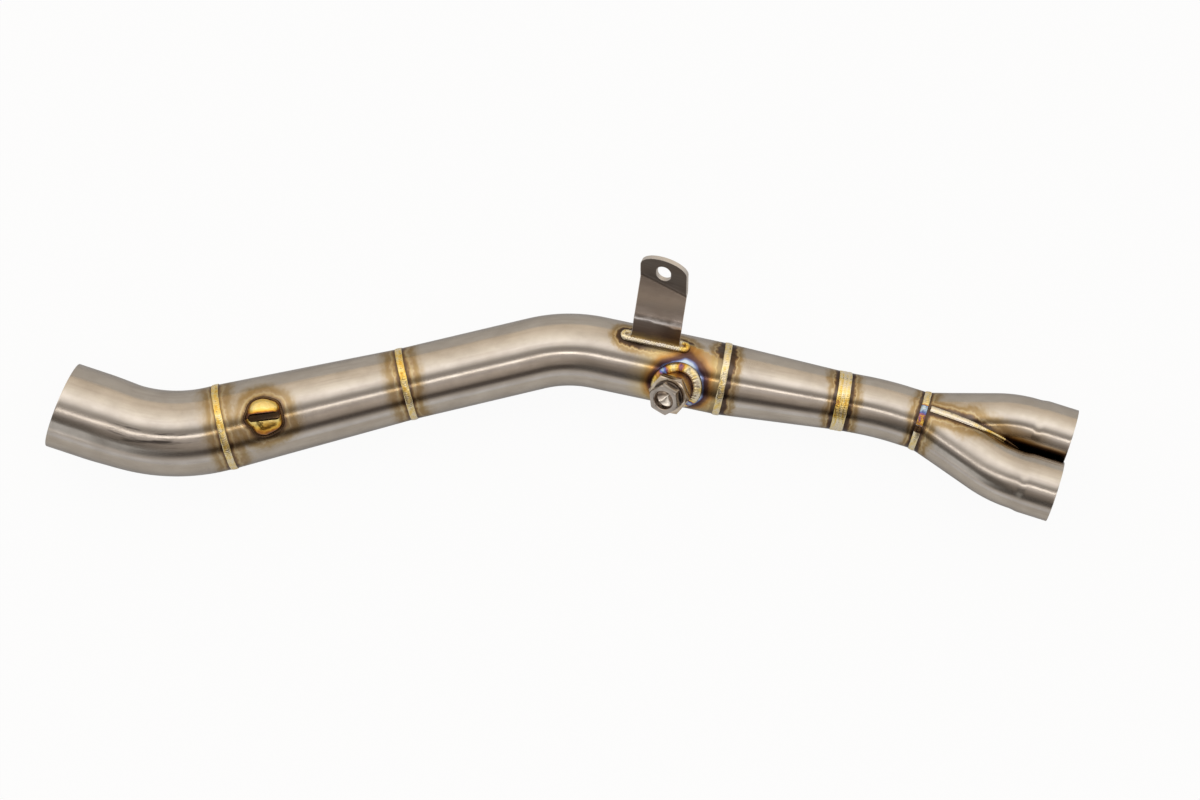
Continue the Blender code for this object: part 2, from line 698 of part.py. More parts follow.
def add_plug(frame, parent):
    """The hexagonal blanking plug with its drilled cup."""
    seat = BOSS_HEIGHT + GAP + WASHER_THICKNESS + GAP
    top = seat + PLUG_HEAD
    shank = PLUG_THREAD / 2
    cup = PLUG_CUP / 2
    floor = top - PLUG_CUP_DEPTH
    point_depth = cup / math.tan(DRILL_POINT / 2)
    end = seat - PLUG_SHANK
    loops = [circle(shank - PLUG_CHAMFER, PLUG_SIDES, end)]
    loops += [circle(shank, PLUG_SIDES, z) for z in (end + PLUG_CHAMFER, seat)]
    loops += hex_loops(PLUG_AF, seat, top, PLUG_CHAMFER, PLUG_SIDES)
    loops += [circle(cup, PLUG_SIDES, z) for z in (top, floor)]
    loops += [circle(cup * DRILL_TIP, PLUG_SIDES, floor - point_depth * (1 - DRILL_TIP))]
    return add_object("sensor_plug", loft(loops), turned(frame, PLUG_TURN, "Z"), parent, TURNED)


# Spring hook


def hook_place():
    """The hook in the frame of the taper: origin on its surface, +Z outwards."""
    radius = taper_radius(HOOK_FROM_WELD)
    slope = math.atan2((OUTLET_OD - MAIN_OD) / 2, TAPER_LENGTH)
    lift = Matrix.Translation((HOOK_FROM_WELD, 0, radius))
    return lift @ Matrix.Rotation(slope, 4, "Y") @ Matrix.Rotation(HOOK_TURN, 4, "Z")


def taper_radius(distance):
    """Outer radius of the taper at a distance from its wide end."""
    share = distance / TAPER_LENGTH
    return (OUTLET_OD + (MAIN_OD - OUTLET_OD) * share) / 2


def dome_loops(grow):
    """Loops of the hook's dome on a straight skirt, larger by grow."""
    length = HOOK_LENGTH / 2 + grow
    breadth = HOOK_BREADTH / 2 + grow
    height = HOOK_HEIGHT + grow
    rises = [math.radians(rise) for rise in (0, 22, 42, 60, 78)]
    levels = [(-HOOK_HEIGHT, 1.0)] + [(height * math.sin(rise), math.cos(rise)) for rise in rises]
    loops = []
    for z, share in levels:
        flat = circle(share, HOOK_SIDES)
        loops.append([Vector((p.x * length, p.y * breadth, z)) for p in flat])
    return loops


def add_hook(frame, taper, parent):
    """The pressed spring hook: a thin dome with a slot that leaves a lip on either side."""
    hook = add_object("spring_hook", loft(dome_loops(0.0)), frame, parent, HOOK_GOLD)
    subtract(hook, add_object("spring_hook_hollow", loft(dome_loops(-HOOK_WALL)), frame, parent))
    length = HOOK_LENGTH / 2 - HOOK_SLOT_END
    width = HOOK_SLOT / 2
    corners = [(-length, -width), (length, -width), (length, width), (-length, width)]
    loops = [[Vector((x, y, z)) for x, y in corners] for z in (-HOOK_HEIGHT, 2 * HOOK_HEIGHT)]
    subtract(hook, add_object("spring_hook_slot", loft(loops), frame, parent))
    subtract(hook, taper)
    return hook


def add_hook_weld(frame, taper, parent):
    """The thin fillet round the hook's dome."""
    place = hook_place()
    grow = HOOK_BEAD_RADIUS / 2
    points = []
    for point in circle(1.0, HOOK_SIDES):
        x = point.x * (HOOK_LENGTH / 2 + grow)
        y = point.y * (HOOK_BREADTH / 2 + grow)
        points.append(Vector((x, y, drop_to_tube(place, x, y, taper_radius))))
    frames = path_frames(points, lambda point: Vector((0, 0, 1)), closed=True)
    section = [(p.x, p.y) for p in circle(HOOK_BEAD_RADIUS, BEAD_SIDES)]
    weld = add_sweep("spring_hook_weld", frames, section, parent, WELD, frame, closed=True)
    subtract(weld, taper)
    subtract(weld, add_object("spring_hook_envelope", loft(dome_loops(GAP)), frame, parent))
    return weld


# Lying pose


def solid_parts(parent):
    """The parts under the pose empty, without cutters."""
    return [obj for obj in parent.children if not obj.hide_render]


def finished_meshes(parts):
    """World-space corner points and triangles of each part with its modifiers on."""
    depsgraph = bpy.context.evaluated_depsgraph_get()
    shapes = []
    for obj in parts:
        shown = obj.evaluated_get(depsgraph)
        mesh = shown.to_mesh()
        mesh.calc_loop_triangles()
        points = [shown.matrix_world @ vert.co for vert in mesh.vertices]
        triangles = [tuple(triangle.vertices) for triangle in mesh.loop_triangles]
        shown.to_mesh_clear()
        shapes.append((points, triangles))
    return shapes


def centre_of_mass(shapes):
    """Centre of all solids, which are of one metal."""
    volume = 0.0
    moment = Vector()
    for points, triangles in shapes:
        for one, two, three in triangles:
            a, b, c = points[one], points[two], points[three]
            part = a.dot(b.cross(c)) / 6
            volume += part
            moment += part * (a + b + c) / 4
    return moment / volume


def resting_normal(points, balance):
    """Upward normal of the hull facet on which the part rests nearest to its laid-out pose."""
    hull = bmesh.new()
    for point in points:
        hull.verts.new(point)
    bmesh.ops.convex_hull(hull, input=hull.verts)
    best = Vector((0, 0, 1))
    best_level = 0.0
    for face in hull.faces:
        outward = face.normal
        if (face.calc_center_median() - balance).dot(outward) < 0:
            outward = -outward
        corners = [vert.co for vert in face.verts]
        turns = []
        for one, two in zip(corners, corners[1:] + corners[:1]):
            turns.append((two - one).cross(balance - one).dot(outward))
        inside = all(turn > 0 for turn in turns) or all(turn < 0 for turn in turns)
        if inside and -outward.z > best_level:
            best = -outward
            best_level = -outward.z
    hull.free()
    return best


def lay_down(pose):
    """Turn the part onto the facet it rests on, and put its box's bottom centre at the origin."""
    bpy.context.view_layer.update()
    shapes = finished_meshes(solid_parts(pose))
    points = [point for shape in shapes for point in shape[0]]
    upward = resting_normal(points, centre_of_mass(shapes))
    turn = upward.rotation_difference(Vector((0, 0, 1))).to_matrix().to_4x4()
    lying = [turn @ point for point in points]
    low = Vector([min(point[i] for point in lying) for i in range(3)])
    high = Vector([max(point[i] for point in lying) for i in range(3)])
    shift = Matrix.Translation((-(low.x + high.x) / 2, -(low.y + high.y) / 2, -low.z))
    pose.matrix_world = shift @ turn


def build():
    """Make every part of the pipe."""
    clear_scene()
    pose = bpy.data.objects.new("lying_pose", None)
    bpy.context.scene.collection.objects.link(pose)

    outlet_rings, outlet_joint = outlet_route()
    taper_rings, taper_joint = cone_route(outlet_joint, TAPER_LENGTH, OUTLET_OD, MAIN_OD)
    mid_rings, bend_end, reducer_joint = mid_route(taper_joint)
    cone_start = turned(reducer_joint, REDUCER_MITRE / 2, "Z")
    reducer_rings, neck_joint = cone_route(
        cone_start, REDUCER_LENGTH, MAIN_OD, NECK_OD, -REDUCER_MITRE / 2)
    neck_start = turned(neck_joint, COLLECTOR_ROLL, "X")
    neck_rings, collector = neck_route(neck_start)

    add_tube("outlet_bend", outlet_rings, pose)
    add_tube("taper_cone", taper_rings, pose)
    mid_tube = add_tube("mid_bend", mid_rings, pose)
    add_tube("reducer_cone", reducer_rings, pose)
    add_tube("merge_neck", neck_rings, pose)
    upper_leg, upper_rings = add_leg("upper_inlet_leg", 1, collector, pose)
    lower_leg, lower_rings = add_leg("lower_inlet_leg", -1, collector, pose)

    taper_slope = cone_slope(TAPER_LENGTH, OUTLET_OD, MAIN_OD)
    reducer_slope = cone_slope(REDUCER_LENGTH, MAIN_OD, NECK_OD)
    add_butt_weld("outlet_weld", outlet_joint, joint_surface(OUTLET_OD, after=taper_slope), pose)
    add_butt_weld("taper_weld", taper_joint, joint_surface(MAIN_OD, before=taper_slope), pose)
    add_butt_weld("reducer_weld", reducer_joint, joint_surface(MAIN_OD, after=reducer_slope), pose)
    add_butt_weld("neck_weld", neck_joint, joint_surface(NECK_OD, before=reducer_slope), pose, WIDE_CAP_WIDTH)
    add_butt_weld("collector_weld", collector, collector_surface, pose)
    legs = [(upper_leg.name, upper_rings), (lower_leg.name, lower_rings)]
    add_seam_weld(collector, legs, pose)

    mid_envelope = add_envelope("mid_bend_envelope", mid_rings, pose)
    foot_lift = Matrix.Translation((0, 0, MAIN_OD / 2 + GAP))
    foot = turned(along(bend_end, BRACKET_FROM_BEND), -BRACKET_ANGLE, "X") @ foot_lift
    add_bracket(foot, pose)
    add_bracket_weld(foot, mid_envelope, pose)

    boss_frame = along(bend_end, BOSS_FROM_BEND) @ boss_place()
    subtract(mid_tube, add_boss(boss_frame, mid_envelope, pose))
    add_boss_weld(boss_frame, mid_envelope, pose)
    add_washer(boss_frame, pose)
    add_plug(boss_frame, pose)

    taper_envelope = add_envelope("taper_cone_envelope", taper_rings, pose)
    hook_frame = outlet_joint @ hook_place()
    add_hook(hook_frame, taper_envelope, pose)
    add_hook_weld(hook_frame, taper_envelope, pose)
    lay_down(pose)


build()
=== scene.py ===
from collections import namedtuple
from contextlib import contextmanager
from math import asin, atan2, ceil, copysign, cos, degrees, dist, exp, hypot, pi, radians, sin, sqrt, tan

import bmesh
import bpy
import numpy as np
from mathutils import Matrix, Vector


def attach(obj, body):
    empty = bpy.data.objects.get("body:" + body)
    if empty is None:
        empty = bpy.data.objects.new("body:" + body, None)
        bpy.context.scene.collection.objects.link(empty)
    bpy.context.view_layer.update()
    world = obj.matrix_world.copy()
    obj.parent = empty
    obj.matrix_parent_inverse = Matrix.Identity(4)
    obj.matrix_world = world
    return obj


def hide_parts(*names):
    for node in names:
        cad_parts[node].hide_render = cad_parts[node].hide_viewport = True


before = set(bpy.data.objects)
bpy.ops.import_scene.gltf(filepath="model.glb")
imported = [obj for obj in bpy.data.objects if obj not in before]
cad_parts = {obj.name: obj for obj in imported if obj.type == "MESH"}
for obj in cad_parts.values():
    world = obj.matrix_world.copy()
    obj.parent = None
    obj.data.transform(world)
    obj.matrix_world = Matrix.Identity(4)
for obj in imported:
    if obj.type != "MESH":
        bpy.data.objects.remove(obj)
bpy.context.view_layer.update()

# The exhaust y-pipe: smooth tubes, rippled welds and brushed, heat-tinted steel over the CAD solids.
# Sizes are in metres. Those of the route, tubes, bracket, boss, plug and hook are the CAD source's own,
# so each piece lies on the node it stands for; only the bracket is a little thinner and the hook's slot longer.

MM = 0.001
WALL = 1.2 * MM
OUTLET_OD = 60.5 * MM
SLIP_OD = 62.3 * MM
MAIN_OD = 50.8 * MM
NECK_OD = 41.3 * MM
SOCKET_OD = 43.0 * MM

OUTLET_ANGLE = radians(-18.4)
OUTLET_TRIM = radians(-3.5)
SLIP_LENGTH = 34.0 * MM
SLIP_TAPER = 10.0 * MM
OUTLET_BEND = radians(31.7)
OUTLET_BEND_RADIUS = 121.0 * MM
OUTLET_TAIL = 6.4 * MM
TAPER_LENGTH = 130.8 * MM
MID_LEAD = 93.6 * MM
MID_BEND = radians(-25.3)
MID_BEND_RADIUS = 100.0 * MM
MID_TAIL = 88.6 * MM
REDUCER_MITRE = radians(1.5)
REDUCER_LENGTH = 84.7 * MM

COLLECTOR_ROLL = radians(-28.0)
NECK_LEAD = 14.0 * MM
NECK_BEND = radians(-8.0)
NECK_BEND_RADIUS = 210.0 * MM
NECK_TAIL = 14.0 * MM
LEG_SPREAD = radians(19.6)
LEG_BEND_RADIUS = 75.0 * MM
THROAT_LENGTH = 22.0 * MM
LEG_TAIL = 1.3 * MM
SOCKET_STEP = 2.5 * MM
SOCKET_LENGTH = 23.0 * MM
SOCKET_SPACE = 0.4 * MM
END_BACK = 1.3 * MM
CLOSE = 0.02 * MM

BEAD_WIDTH = 5.0 * MM
BEAD_HEIGHT = 0.52 * MM
SEAM_WIDTH = 5.2 * MM
SEAM_CROWN = 1.3 * MM
SEAM_WEB = 7.0 * MM
SEAM_BRIGHT = 59.0 * MM

BRACKET_FROM_BEND = 37.0 * MM
BRACKET_ANGLE = radians(38.0)
BRACKET_WIDTH = 34.0 * MM
BRACKET_THICKNESS = 3.46 * MM
BRACKET_LEAN = radians(-3.0)
FOOT_LENGTH = 21.0 * MM
WEB_LENGTH = 19.0 * MM
HEAD_LENGTH = 22.0 * MM
FOLD_RADIUS = 5.5 * MM
FOOT_FOLD = radians(52.0)
HEAD_FOLD = radians(-50.0)
HEAD_FOLD_SKEW = radians(-15.0)
FOOT_FLARE = 5.0 * MM
HEAD_ROUND = 9.5 * MM
SLOT_WIDTH = 10.5 * MM
SLOT_LENGTH = 13.0 * MM
SLOT_FROM_END = 12.5 * MM
BRACKET_BEAD = 3.0 * MM
BRACKET_BEAD_HEIGHT = 2.6 * MM
GAP = 0.3 * MM

BOSS_FROM_BEND = 57.9 * MM
BOSS_ANGLE = radians(29.0)
BOSS_TILT = radians(17.5)
BOSS_AF = 26.0 * MM
BOSS_WALL_OD = 24.0 * MM
BOSS_HEIGHT = 15.5 * MM
BOSS_HEX_HEIGHT = 6.0 * MM
BOSS_TURN = radians(5.0)
BOSS_BEAD = 5.6 * MM
BOSS_BEAD_HEIGHT = 4.0 * MM
BOSS_HEAT_REACH = 22.0 * MM
PLUG_THREAD = 18.0 * MM
PLUG_AF = 19.5 * MM
PLUG_HEAD = 7.0 * MM
PLUG_SHANK = 12.0 * MM
PLUG_TURN = radians(-12.0)
PLUG_CUP = 13.6 * MM
PLUG_CUP_DEPTH = 6.0 * MM
DRILL_POINT = radians(118.0)
WASHER_OD = 22.0 * MM
WASHER_THICKNESS = 1.4 * MM
HEX_SIDES = 144

HOOK_FROM_WELD = 31.0 * MM
HOOK_LENGTH = 23.6 * MM
HOOK_BREADTH = 25.6 * MM
HOOK_HEIGHT = 8.5 * MM
HOOK_WALL = 2.0 * MM
HOOK_TURN = radians(-7.0)
HOOK_SLOT = 5.6 * MM
HOOK_SLOT_END = 0.6 * MM
HOOK_BEAD = 1.6 * MM

# The bare tube's steel, and its reflections' tint at glancing angles
STEEL = (0.51, 0.475, 0.43)
STEEL_DULL = (0.43, 0.395, 0.352)
RIM_TINT = (0.62, 0.63, 0.66, 1.0)

# Heat of a weld: 0 to 1 runs through the temper colours, and this is burnt brown
BURNT = 2.0

# From here along the pipe the tubes' heat tints turn from broad and golden to scorched, the legs' less so
SCORCH_START = 0.30
SCORCH_SPAN = 0.12
LEG_SCORCH = 0.4

# Light of the studio tent's panels, by degrees from overhead towards +Y
STUDIO = [
    (-180, (0.40, 0.42, 0.45)), (-98, (0.74, 0.76, 0.80)), (-88, (0.86, 0.86, 0.88)), (-78, (0.86, 0.83, 0.82)),
    (-70, (0.58, 0.52, 0.47)), (-62, (0.12, 0.10, 0.09)), (-52, (0.08, 0.06, 0.05)), (-43, (0.48, 0.41, 0.36)),
    (-30, (0.78, 0.68, 0.60)), (-18, (0.82, 0.75, 0.72)), (-10, (0.66, 0.60, 0.56)), (-3, (0.40, 0.36, 0.33)),
    (7, (0.42, 0.38, 0.35)), (12, (0.75, 0.70, 0.66)), (18, (1.35, 1.27, 1.20)), (28, (1.80, 1.70, 1.62)),
    (41, (1.60, 1.49, 1.34)), (53, (1.36, 1.24, 1.07)), (67, (1.18, 1.04, 0.87)), (81, (1.06, 0.92, 0.75)),
    (98, (0.95, 0.82, 0.66)), (180, (0.60, 0.54, 0.48))]

# How the pipe lies: its resting face's normal and its outlet's centre; the camera is placed in the pipe's frame
RESTING_NORMAL = Vector((-0.011707, -0.022692, 0.999674))
OUTLET_MOUTH = Vector((-0.351049, -0.011712, 0.031926))
CAMERA_FROM_OUTLET = Vector((0.37716, 0.003513, 2.38884))
UP = Vector((0, 0, 1))
LYING = Matrix.Translation(OUTLET_MOUTH) @ RESTING_NORMAL.rotation_difference(UP).to_matrix().to_4x4()

# The CAD tubes have 32 flat sides inside the full circle; the round ones are as wide on average.
ROUND = (1 + cos(pi / 32)) / 2

Mark = namedtuple("Mark", "centre side up along hue")


# Route of the pipe


def along(place, distance):
    """The place moved on along its own X axis."""
    return place @ Matrix.Translation((distance, 0, 0))


def turned(place, angle, axis):
    """The place turned about one of its own axes."""
    return place @ Matrix.Rotation(angle, 4, axis)


class Route:
    """Straight runs and bends, one after the other; at() gives the place at a distance."""

    def __init__(self, start):
        self.end = start
        self.runs = []
        self.length = 0.0

    def add(self, length, place):
        self.runs.append((self.length, place))
        self.length += length
        self.end = place(length)
        return self

    def straight(self, length):
        start = self.end
        return self.add(length, lambda distance: along(start, distance))

    def bend(self, angle, radius):
        start = self.end
        centre = Matrix.Translation((0, copysign(radius, angle), 0))

        def place(distance):
            swing = Matrix.Rotation(copysign(distance / radius, angle), 4, "Z")
            return start @ centre @ swing @ centre.inverted()

        return self.add(radius * abs(angle), place)

    def at(self, distance):
        for start, place in reversed(self.runs):
            if distance >= start:
                return place(distance - start)
        return self.runs[0][1](distance)


def limited(share):
    """The share held between 0 and 1."""
    return min(max(share, 0.0), 1.0)


def smooth_step(share):
    """0 to 1 with level ends."""
    share = limited(share)
    return share * share * (3 - 2 * share)


def spaced(start, end, step):
    """Even distances from start to end, about a step apart."""
    count = max(2, ceil((end - start) / step))
    return [start + (end - start) * i / count for i in range(count + 1)]


def quarter_turns(steps):
    """Angles of a quarter circle from 0, in even steps."""
    return [radians(90) * i / steps for i in range(steps + 1)]


def half_turns(start, steps):
    """Angles of a half circle from a start in degrees, in even steps."""
    return [radians(start + 180 * i / steps) for i in range(steps + 1)]


outlet = Route(LYING @ Matrix.Rotation(OUTLET_ANGLE, 4, "Z"))
outlet.straight(SLIP_LENGTH + SLIP_TAPER).bend(OUTLET_BEND, OUTLET_BEND_RADIUS).straight(OUTLET_TAIL)
taper = Route(outlet.end).straight(TAPER_LENGTH)
middle = Route(taper.end).straight(MID_LEAD).bend(MID_BEND, MID_BEND_RADIUS)
bend_end = middle.end
middle.straight(MID_TAIL)
reducer_joint = turned(middle.end, REDUCER_MITRE / 2, "Z")
reducer = Route(turned(reducer_joint, REDUCER_MITRE / 2, "Z")).straight(REDUCER_LENGTH)
neck = Route(turned(reducer.end, COLLECTOR_ROLL, "X"))
neck.straight(NECK_LEAD).bend(NECK_BEND, NECK_BEND_RADIUS).straight(NECK_TAIL)
collector = neck.end

LEG_RADIUS = NECK_OD / 2
SOCKET_OFFSET = (SOCKET_OD + SOCKET_SPACE) / 2
BEND_OFFSET = (LEG_BEND_RADIUS + LEG_RADIUS) * (1 - cos(LEG_SPREAD))
LEG_RUN = (SOCKET_OFFSET - BEND_OFFSET) / sin(LEG_SPREAD)
LEG_LENGTH = LEG_RUN + LEG_BEND_RADIUS * LEG_SPREAD

# Distance along the whole pipe at which each tube, and last the legs, start
PIPE_STARTS = [0.0]
for run in (outlet, taper, middle, reducer, neck):
    PIPE_STARTS.append(PIPE_STARTS[-1] + run.length)


def leg_station(distance):
    """Centre and heading of the upper leg at a distance, in the collector's frame.

    Along the throat its rings turn about the leg's straight outer side.
    """
    if distance > LEG_RUN:
        heading = LEG_SPREAD - (distance - LEG_RUN) / LEG_BEND_RADIUS
        arm = LEG_BEND_RADIUS + LEG_RADIUS
        forward = LEG_RUN * cos(LEG_SPREAD) + arm * sin(LEG_SPREAD)
        aside = LEG_RUN * sin(LEG_SPREAD) + arm * (1 - cos(LEG_SPREAD))
        forward -= LEG_BEND_RADIUS * sin(heading)
        aside -= LEG_BEND_RADIUS * (1 - cos(heading))
        return Vector((forward, aside, 0)), heading
    heading = LEG_SPREAD * smooth_step(distance / THROAT_LENGTH)
    forward = distance * cos(LEG_SPREAD) + LEG_RADIUS * sin(heading)
    aside = distance * sin(LEG_SPREAD) + LEG_RADIUS * (1 - cos(heading))
    return Vector((forward, aside, 0)), heading


def leg_place(side, distance):
    """The place on one leg at a distance; past the bend it runs straight on."""
    centre, heading = leg_station(min(distance, LEG_LENGTH))
    place = Matrix.Translation((centre.x, side * centre.y, 0))
    place = collector @ turned(place, side * heading, "Z")
    return along(place, max(distance - LEG_LENGTH, 0.0))


def crease_offset(distance):
    """Half width that the leg's ring needs to reach the plane between the legs."""
    centre, heading = leg_station(distance)
    return centre.y / cos(heading)


def crease_station(turn):
    """Point of the crease at a turn round the leg, and the leg's heading there."""
    low, high = 0.0, LEG_LENGTH
    for _ in range(40):
        half = (low + high) / 2
        if crease_offset(half) < LEG_RADIUS * sin(turn):
            low = half
        else:
            high = half
    centre, heading = leg_station(low)
    forward = centre.x + centre.y * tan(heading)
    return Vector((forward, 0, LEG_RADIUS * cos(turn))), heading


# Node tools


class Field:
    """A node's output; sums made with it add Math or Vector Math nodes to its tree."""

    def __init__(self, tree, socket):
        self.tree = tree
        self.socket = socket

    def is_vector(self):
        return self.socket.type == "VECTOR"

    def math(self, operation, *others):
        return field(self.tree, "ShaderNodeMath", enumerate((self, *others)), operation=operation)

    def vector(self, operation, *others, output=0):
        return field(self.tree, "ShaderNodeVectorMath", enumerate((self, *others)), output, operation=operation)

    def part(self, axis):
        return field(self.tree, "ShaderNodeSeparateXYZ", {0: self}, axis)

    def __add__(self, other):
        return self.vector("ADD", other) if self.is_vector() else self.math("ADD", other)

    def __sub__(self, other):
        return self.math("SUBTRACT", other)

    def __rsub__(self, other):
        return field(self.tree, "ShaderNodeMath", {0: other, 1: self}, operation="SUBTRACT")

    def __mul__(self, other):
        if not self.is_vector():
            return self.math("MULTIPLY", other)
        if isinstance(other, tuple):
            return self.vector("MULTIPLY", other)
        return field(self.tree, "ShaderNodeVectorMath", {0: self, "Scale": other}, operation="SCALE")

    def __truediv__(self, other):
        return self.math("DIVIDE", other)


def feed(made, inputs):
    """Give a node its inputs, as values or as other nodes' outputs."""
    for key, value in dict(inputs).items():
        if isinstance(value, Field):
            made.id_data.links.new(value.socket, made.inputs[key])
        else:
            made.inputs[key].default_value = value


def node(tree, kind, inputs=(), **settings):
    """A new node with its settings and inputs."""
    made = tree.nodes.new(kind)
    for key, value in settings.items():
        setattr(made, key, value)
    feed(made, inputs)
    return made


def field(tree, kind, inputs=(), output=0, **settings):
    """One output of a new node."""
    return Field(tree, node(tree, kind, inputs, **settings).outputs[output])


def combined(tree, *parts):
    """A vector from up to three numbers."""
    return field(tree, "ShaderNodeCombineXYZ", enumerate(parts))


def geometry_tree(name, inputs):
    """An empty Geometry Nodes tree with named inputs; returns it, its inputs and a finisher."""
    tree = bpy.data.node_groups.new(name, "GeometryNodeTree")
    tree.interface.new_socket("Geometry", in_out="OUTPUT", socket_type="NodeSocketGeometry")
    shared = {"Geometry": "Geometry", "Sides": "Int", "Root": "Float", "Back": "Float", "Material": "Material"}
    for label, kind in {**shared, **inputs}.items():
        tree.interface.new_socket(label, in_out="INPUT", socket_type="NodeSocket" + kind)
    given = {socket.name: Field(tree, socket) for socket in tree.nodes.new("NodeGroupInput").outputs}
    result = tree.nodes.new("NodeGroupOutput")

    def finish(skin):
        outward = field(tree, "GeometryNodeFlipFaces", {"Mesh": skin})
        whole = field(tree, "GeometryNodeRealizeInstances", {"Geometry": outward})
        painted = field(tree, "GeometryNodeSetMaterial", {"Geometry": whole, "Material": given["Material"]})
        feed(result, {0: painted})
        return tree

    return tree, given, finish


def store(tree, geometry, name, value):
    """Keep a value on the points under a name."""
    return field(tree, "GeometryNodeStoreNamedAttribute", {"Geometry": geometry, "Name": name, "Value": value},
                 data_type="FLOAT_VECTOR" if value.is_vector() else "FLOAT", domain="POINT")


def skin_marks(tree, given):
    """Nodes that skin the ring marks; returns the skin and the fields of its points."""
    marks = given["Geometry"]
    rings = field(tree, "GeometryNodeAttributeDomainSize", {"Geometry": marks}, "Point Count", component="MESH")
    grid = field(tree, "GeometryNodeMeshGrid", {
        "Vertices X": rings, "Vertices Y": given["Sides"] + 1.0, "Size X": 1.0, "Size Y": 1.0}, "Mesh")
    flat = field(tree, "GeometryNodeInputPosition")
    ring = ((flat.part("X") + 0.5) * (rings - 1.0)).math("ROUND")
    turn = (flat.part("Y") + 0.5) * (2 * pi)

    def read(name):
        kind = "FLOAT" if name in ("along", "hue") else "FLOAT_VECTOR"
        if name == "centre":
            value = field(tree, "GeometryNodeInputPosition")
        else:
            value = field(tree, "GeometryNodeInputNamedAttribute", {"Name": name}, data_type=kind)
        return field(tree, "GeometryNodeSampleIndex", {"Geometry": marks, "Value": value, "Index": ring},
                     data_type=kind, domain="POINT")

    def lopsided(value, below):
        return value.math("MAXIMUM", 0.0) + value.math("MINIMUM", 0.0) * below

    point = {name: read(name) for name in Mark._fields}
    point["cosine"] = turn.math("COSINE")
    point["sine"] = turn.math("SINE")
    point["place"] = (point["centre"] + point["side"] * lopsided(point["cosine"], given["Back"])
                      + point["up"] * lopsided(point["sine"], given["Root"]))
    return grid, point


def laid(tree, skin, place, **values):
    """The skin moved to its place, with values kept on its points."""
    for name, value in {"place": place, **values}.items():
        skin = store(tree, skin, name, value)
    kept = field(tree, "GeometryNodeInputNamedAttribute", {"Name": "place"}, data_type="FLOAT_VECTOR")
    moved = field(tree, "GeometryNodeSetPosition", {"Geometry": skin, "Position": kept})
    return field(tree, "GeometryNodeMergeByDistance", {"Geometry": moved, "Distance": 1e-6})


def tube_tree():
    """Skin of a tube: it keeps each point's place on the unrolled pipe and its distance to a weld."""
    tree, given, finish = geometry_tree("tube skin", {"Welds": "Object"})
    skin, point = skin_marks(tree, given)
    reach = point["side"].vector("LENGTH", output="Value")
    flat = combined(tree, point["along"], point["cosine"] * reach, point["sine"] * reach)
    axis = point["side"].vector("CROSS_PRODUCT", point["up"]).vector("NORMALIZE")
    skin = laid(tree, skin, point["place"], pipe=flat, axis=axis, scorch=point["hue"])
    welds = field(tree, "GeometryNodeObjectInfo", {"Object": given["Welds"]}, "Geometry", transform_space="ORIGINAL")
    near = field(tree, "GeometryNodeProximity", {0: welds}, "Distance", target_element="FACES")
    return finish(store(tree, skin, "toe", near))


def bead_tree():
    """A weld bead: a rounded ridge whose crescent ripples and width vary along it."""
    tree, given, finish = geometry_tree("weld bead", {
        "Ripple Pitch": "Float", "Ripple Depth": "Float", "Wander": "Float", "Seed": "Float"})
    skin, point = skin_marks(tree, given)
    line = combined(tree, point["along"], given["Seed"])
    slow = field(tree, "ShaderNodeTexNoise", {"Vector": line, "Scale": 160.0, "Detail": 2.0}) - 0.5
    bow = point["cosine"] * point["cosine"] * 0.8
    phase = point["along"] / given["Ripple Pitch"] + bow + slow * 2.5
    share = phase.math("FRACT")
    crest = share * (1.0 - share) * 4.0
    drop = field(tree, "ShaderNodeTexWhiteNoise", {"Vector": combined(tree, phase.math("FLOOR"), given["Seed"])})
    depth = given["Ripple Depth"] * (drop * 0.55 + 0.45)
    lift = depth * point["sine"].math("MAXIMUM", 0.0) * (crest - 1.0)
    place = point["place"] + point["up"].vector("NORMALIZE") * lift + point["side"] * (slow * given["Wander"])
    flat = combined(tree, point["along"], point["cosine"], point["sine"])
    return finish(laid(tree, skin, place, bead=flat, crest=crest, drop=drop, hue=point["hue"]))


# Making pieces


@contextmanager
def editing(mesh):
    """The mesh's faces to work on, written back at the end."""
    mesh_data = bmesh.new()
    mesh_data.from_mesh(mesh)
    yield mesh_data
    mesh_data.to_mesh(mesh)
    mesh_data.free()


def fill_holes(mesh_data):
    """Close every open edge loop with a face."""
    bmesh.ops.holes_fill(mesh_data, edges=[edge for edge in mesh_data.edges if edge.is_boundary], sides=0)


def everything(mesh_data):
    """All points, edges and faces."""
    return mesh_data.verts[:] + mesh_data.edges[:] + mesh_data.faces[:]


def keep_values(mesh, name, values):
    """Keep a number or a vector on every point under a name."""
    if isinstance(values[0], float):
        mesh.attributes.new(name, "FLOAT", "POINT").data.foreach_set("value", values)
    else:
        kept = mesh.attributes.new(name, "FLOAT_VECTOR", "POINT")
        kept.data.foreach_set("vector", [part for value in values for part in value])


def link_object(name, data):
    """A new object in the scene."""
    obj = bpy.data.objects.new(name, data)
    bpy.context.scene.collection.objects.link(obj)
    return obj


def plain_mesh(obj, name):
    """The object's mesh with every modifier in it; the object itself goes."""
    depsgraph = bpy.context.evaluated_depsgraph_get()
    shown = obj.evaluated_get(depsgraph)
    mesh = bpy.data.meshes.new_from_object(shown, preserve_all_data_layers=True, depsgraph=depsgraph)
    mesh.name = name
    bpy.data.objects.remove(obj, do_unlink=True)
    return mesh


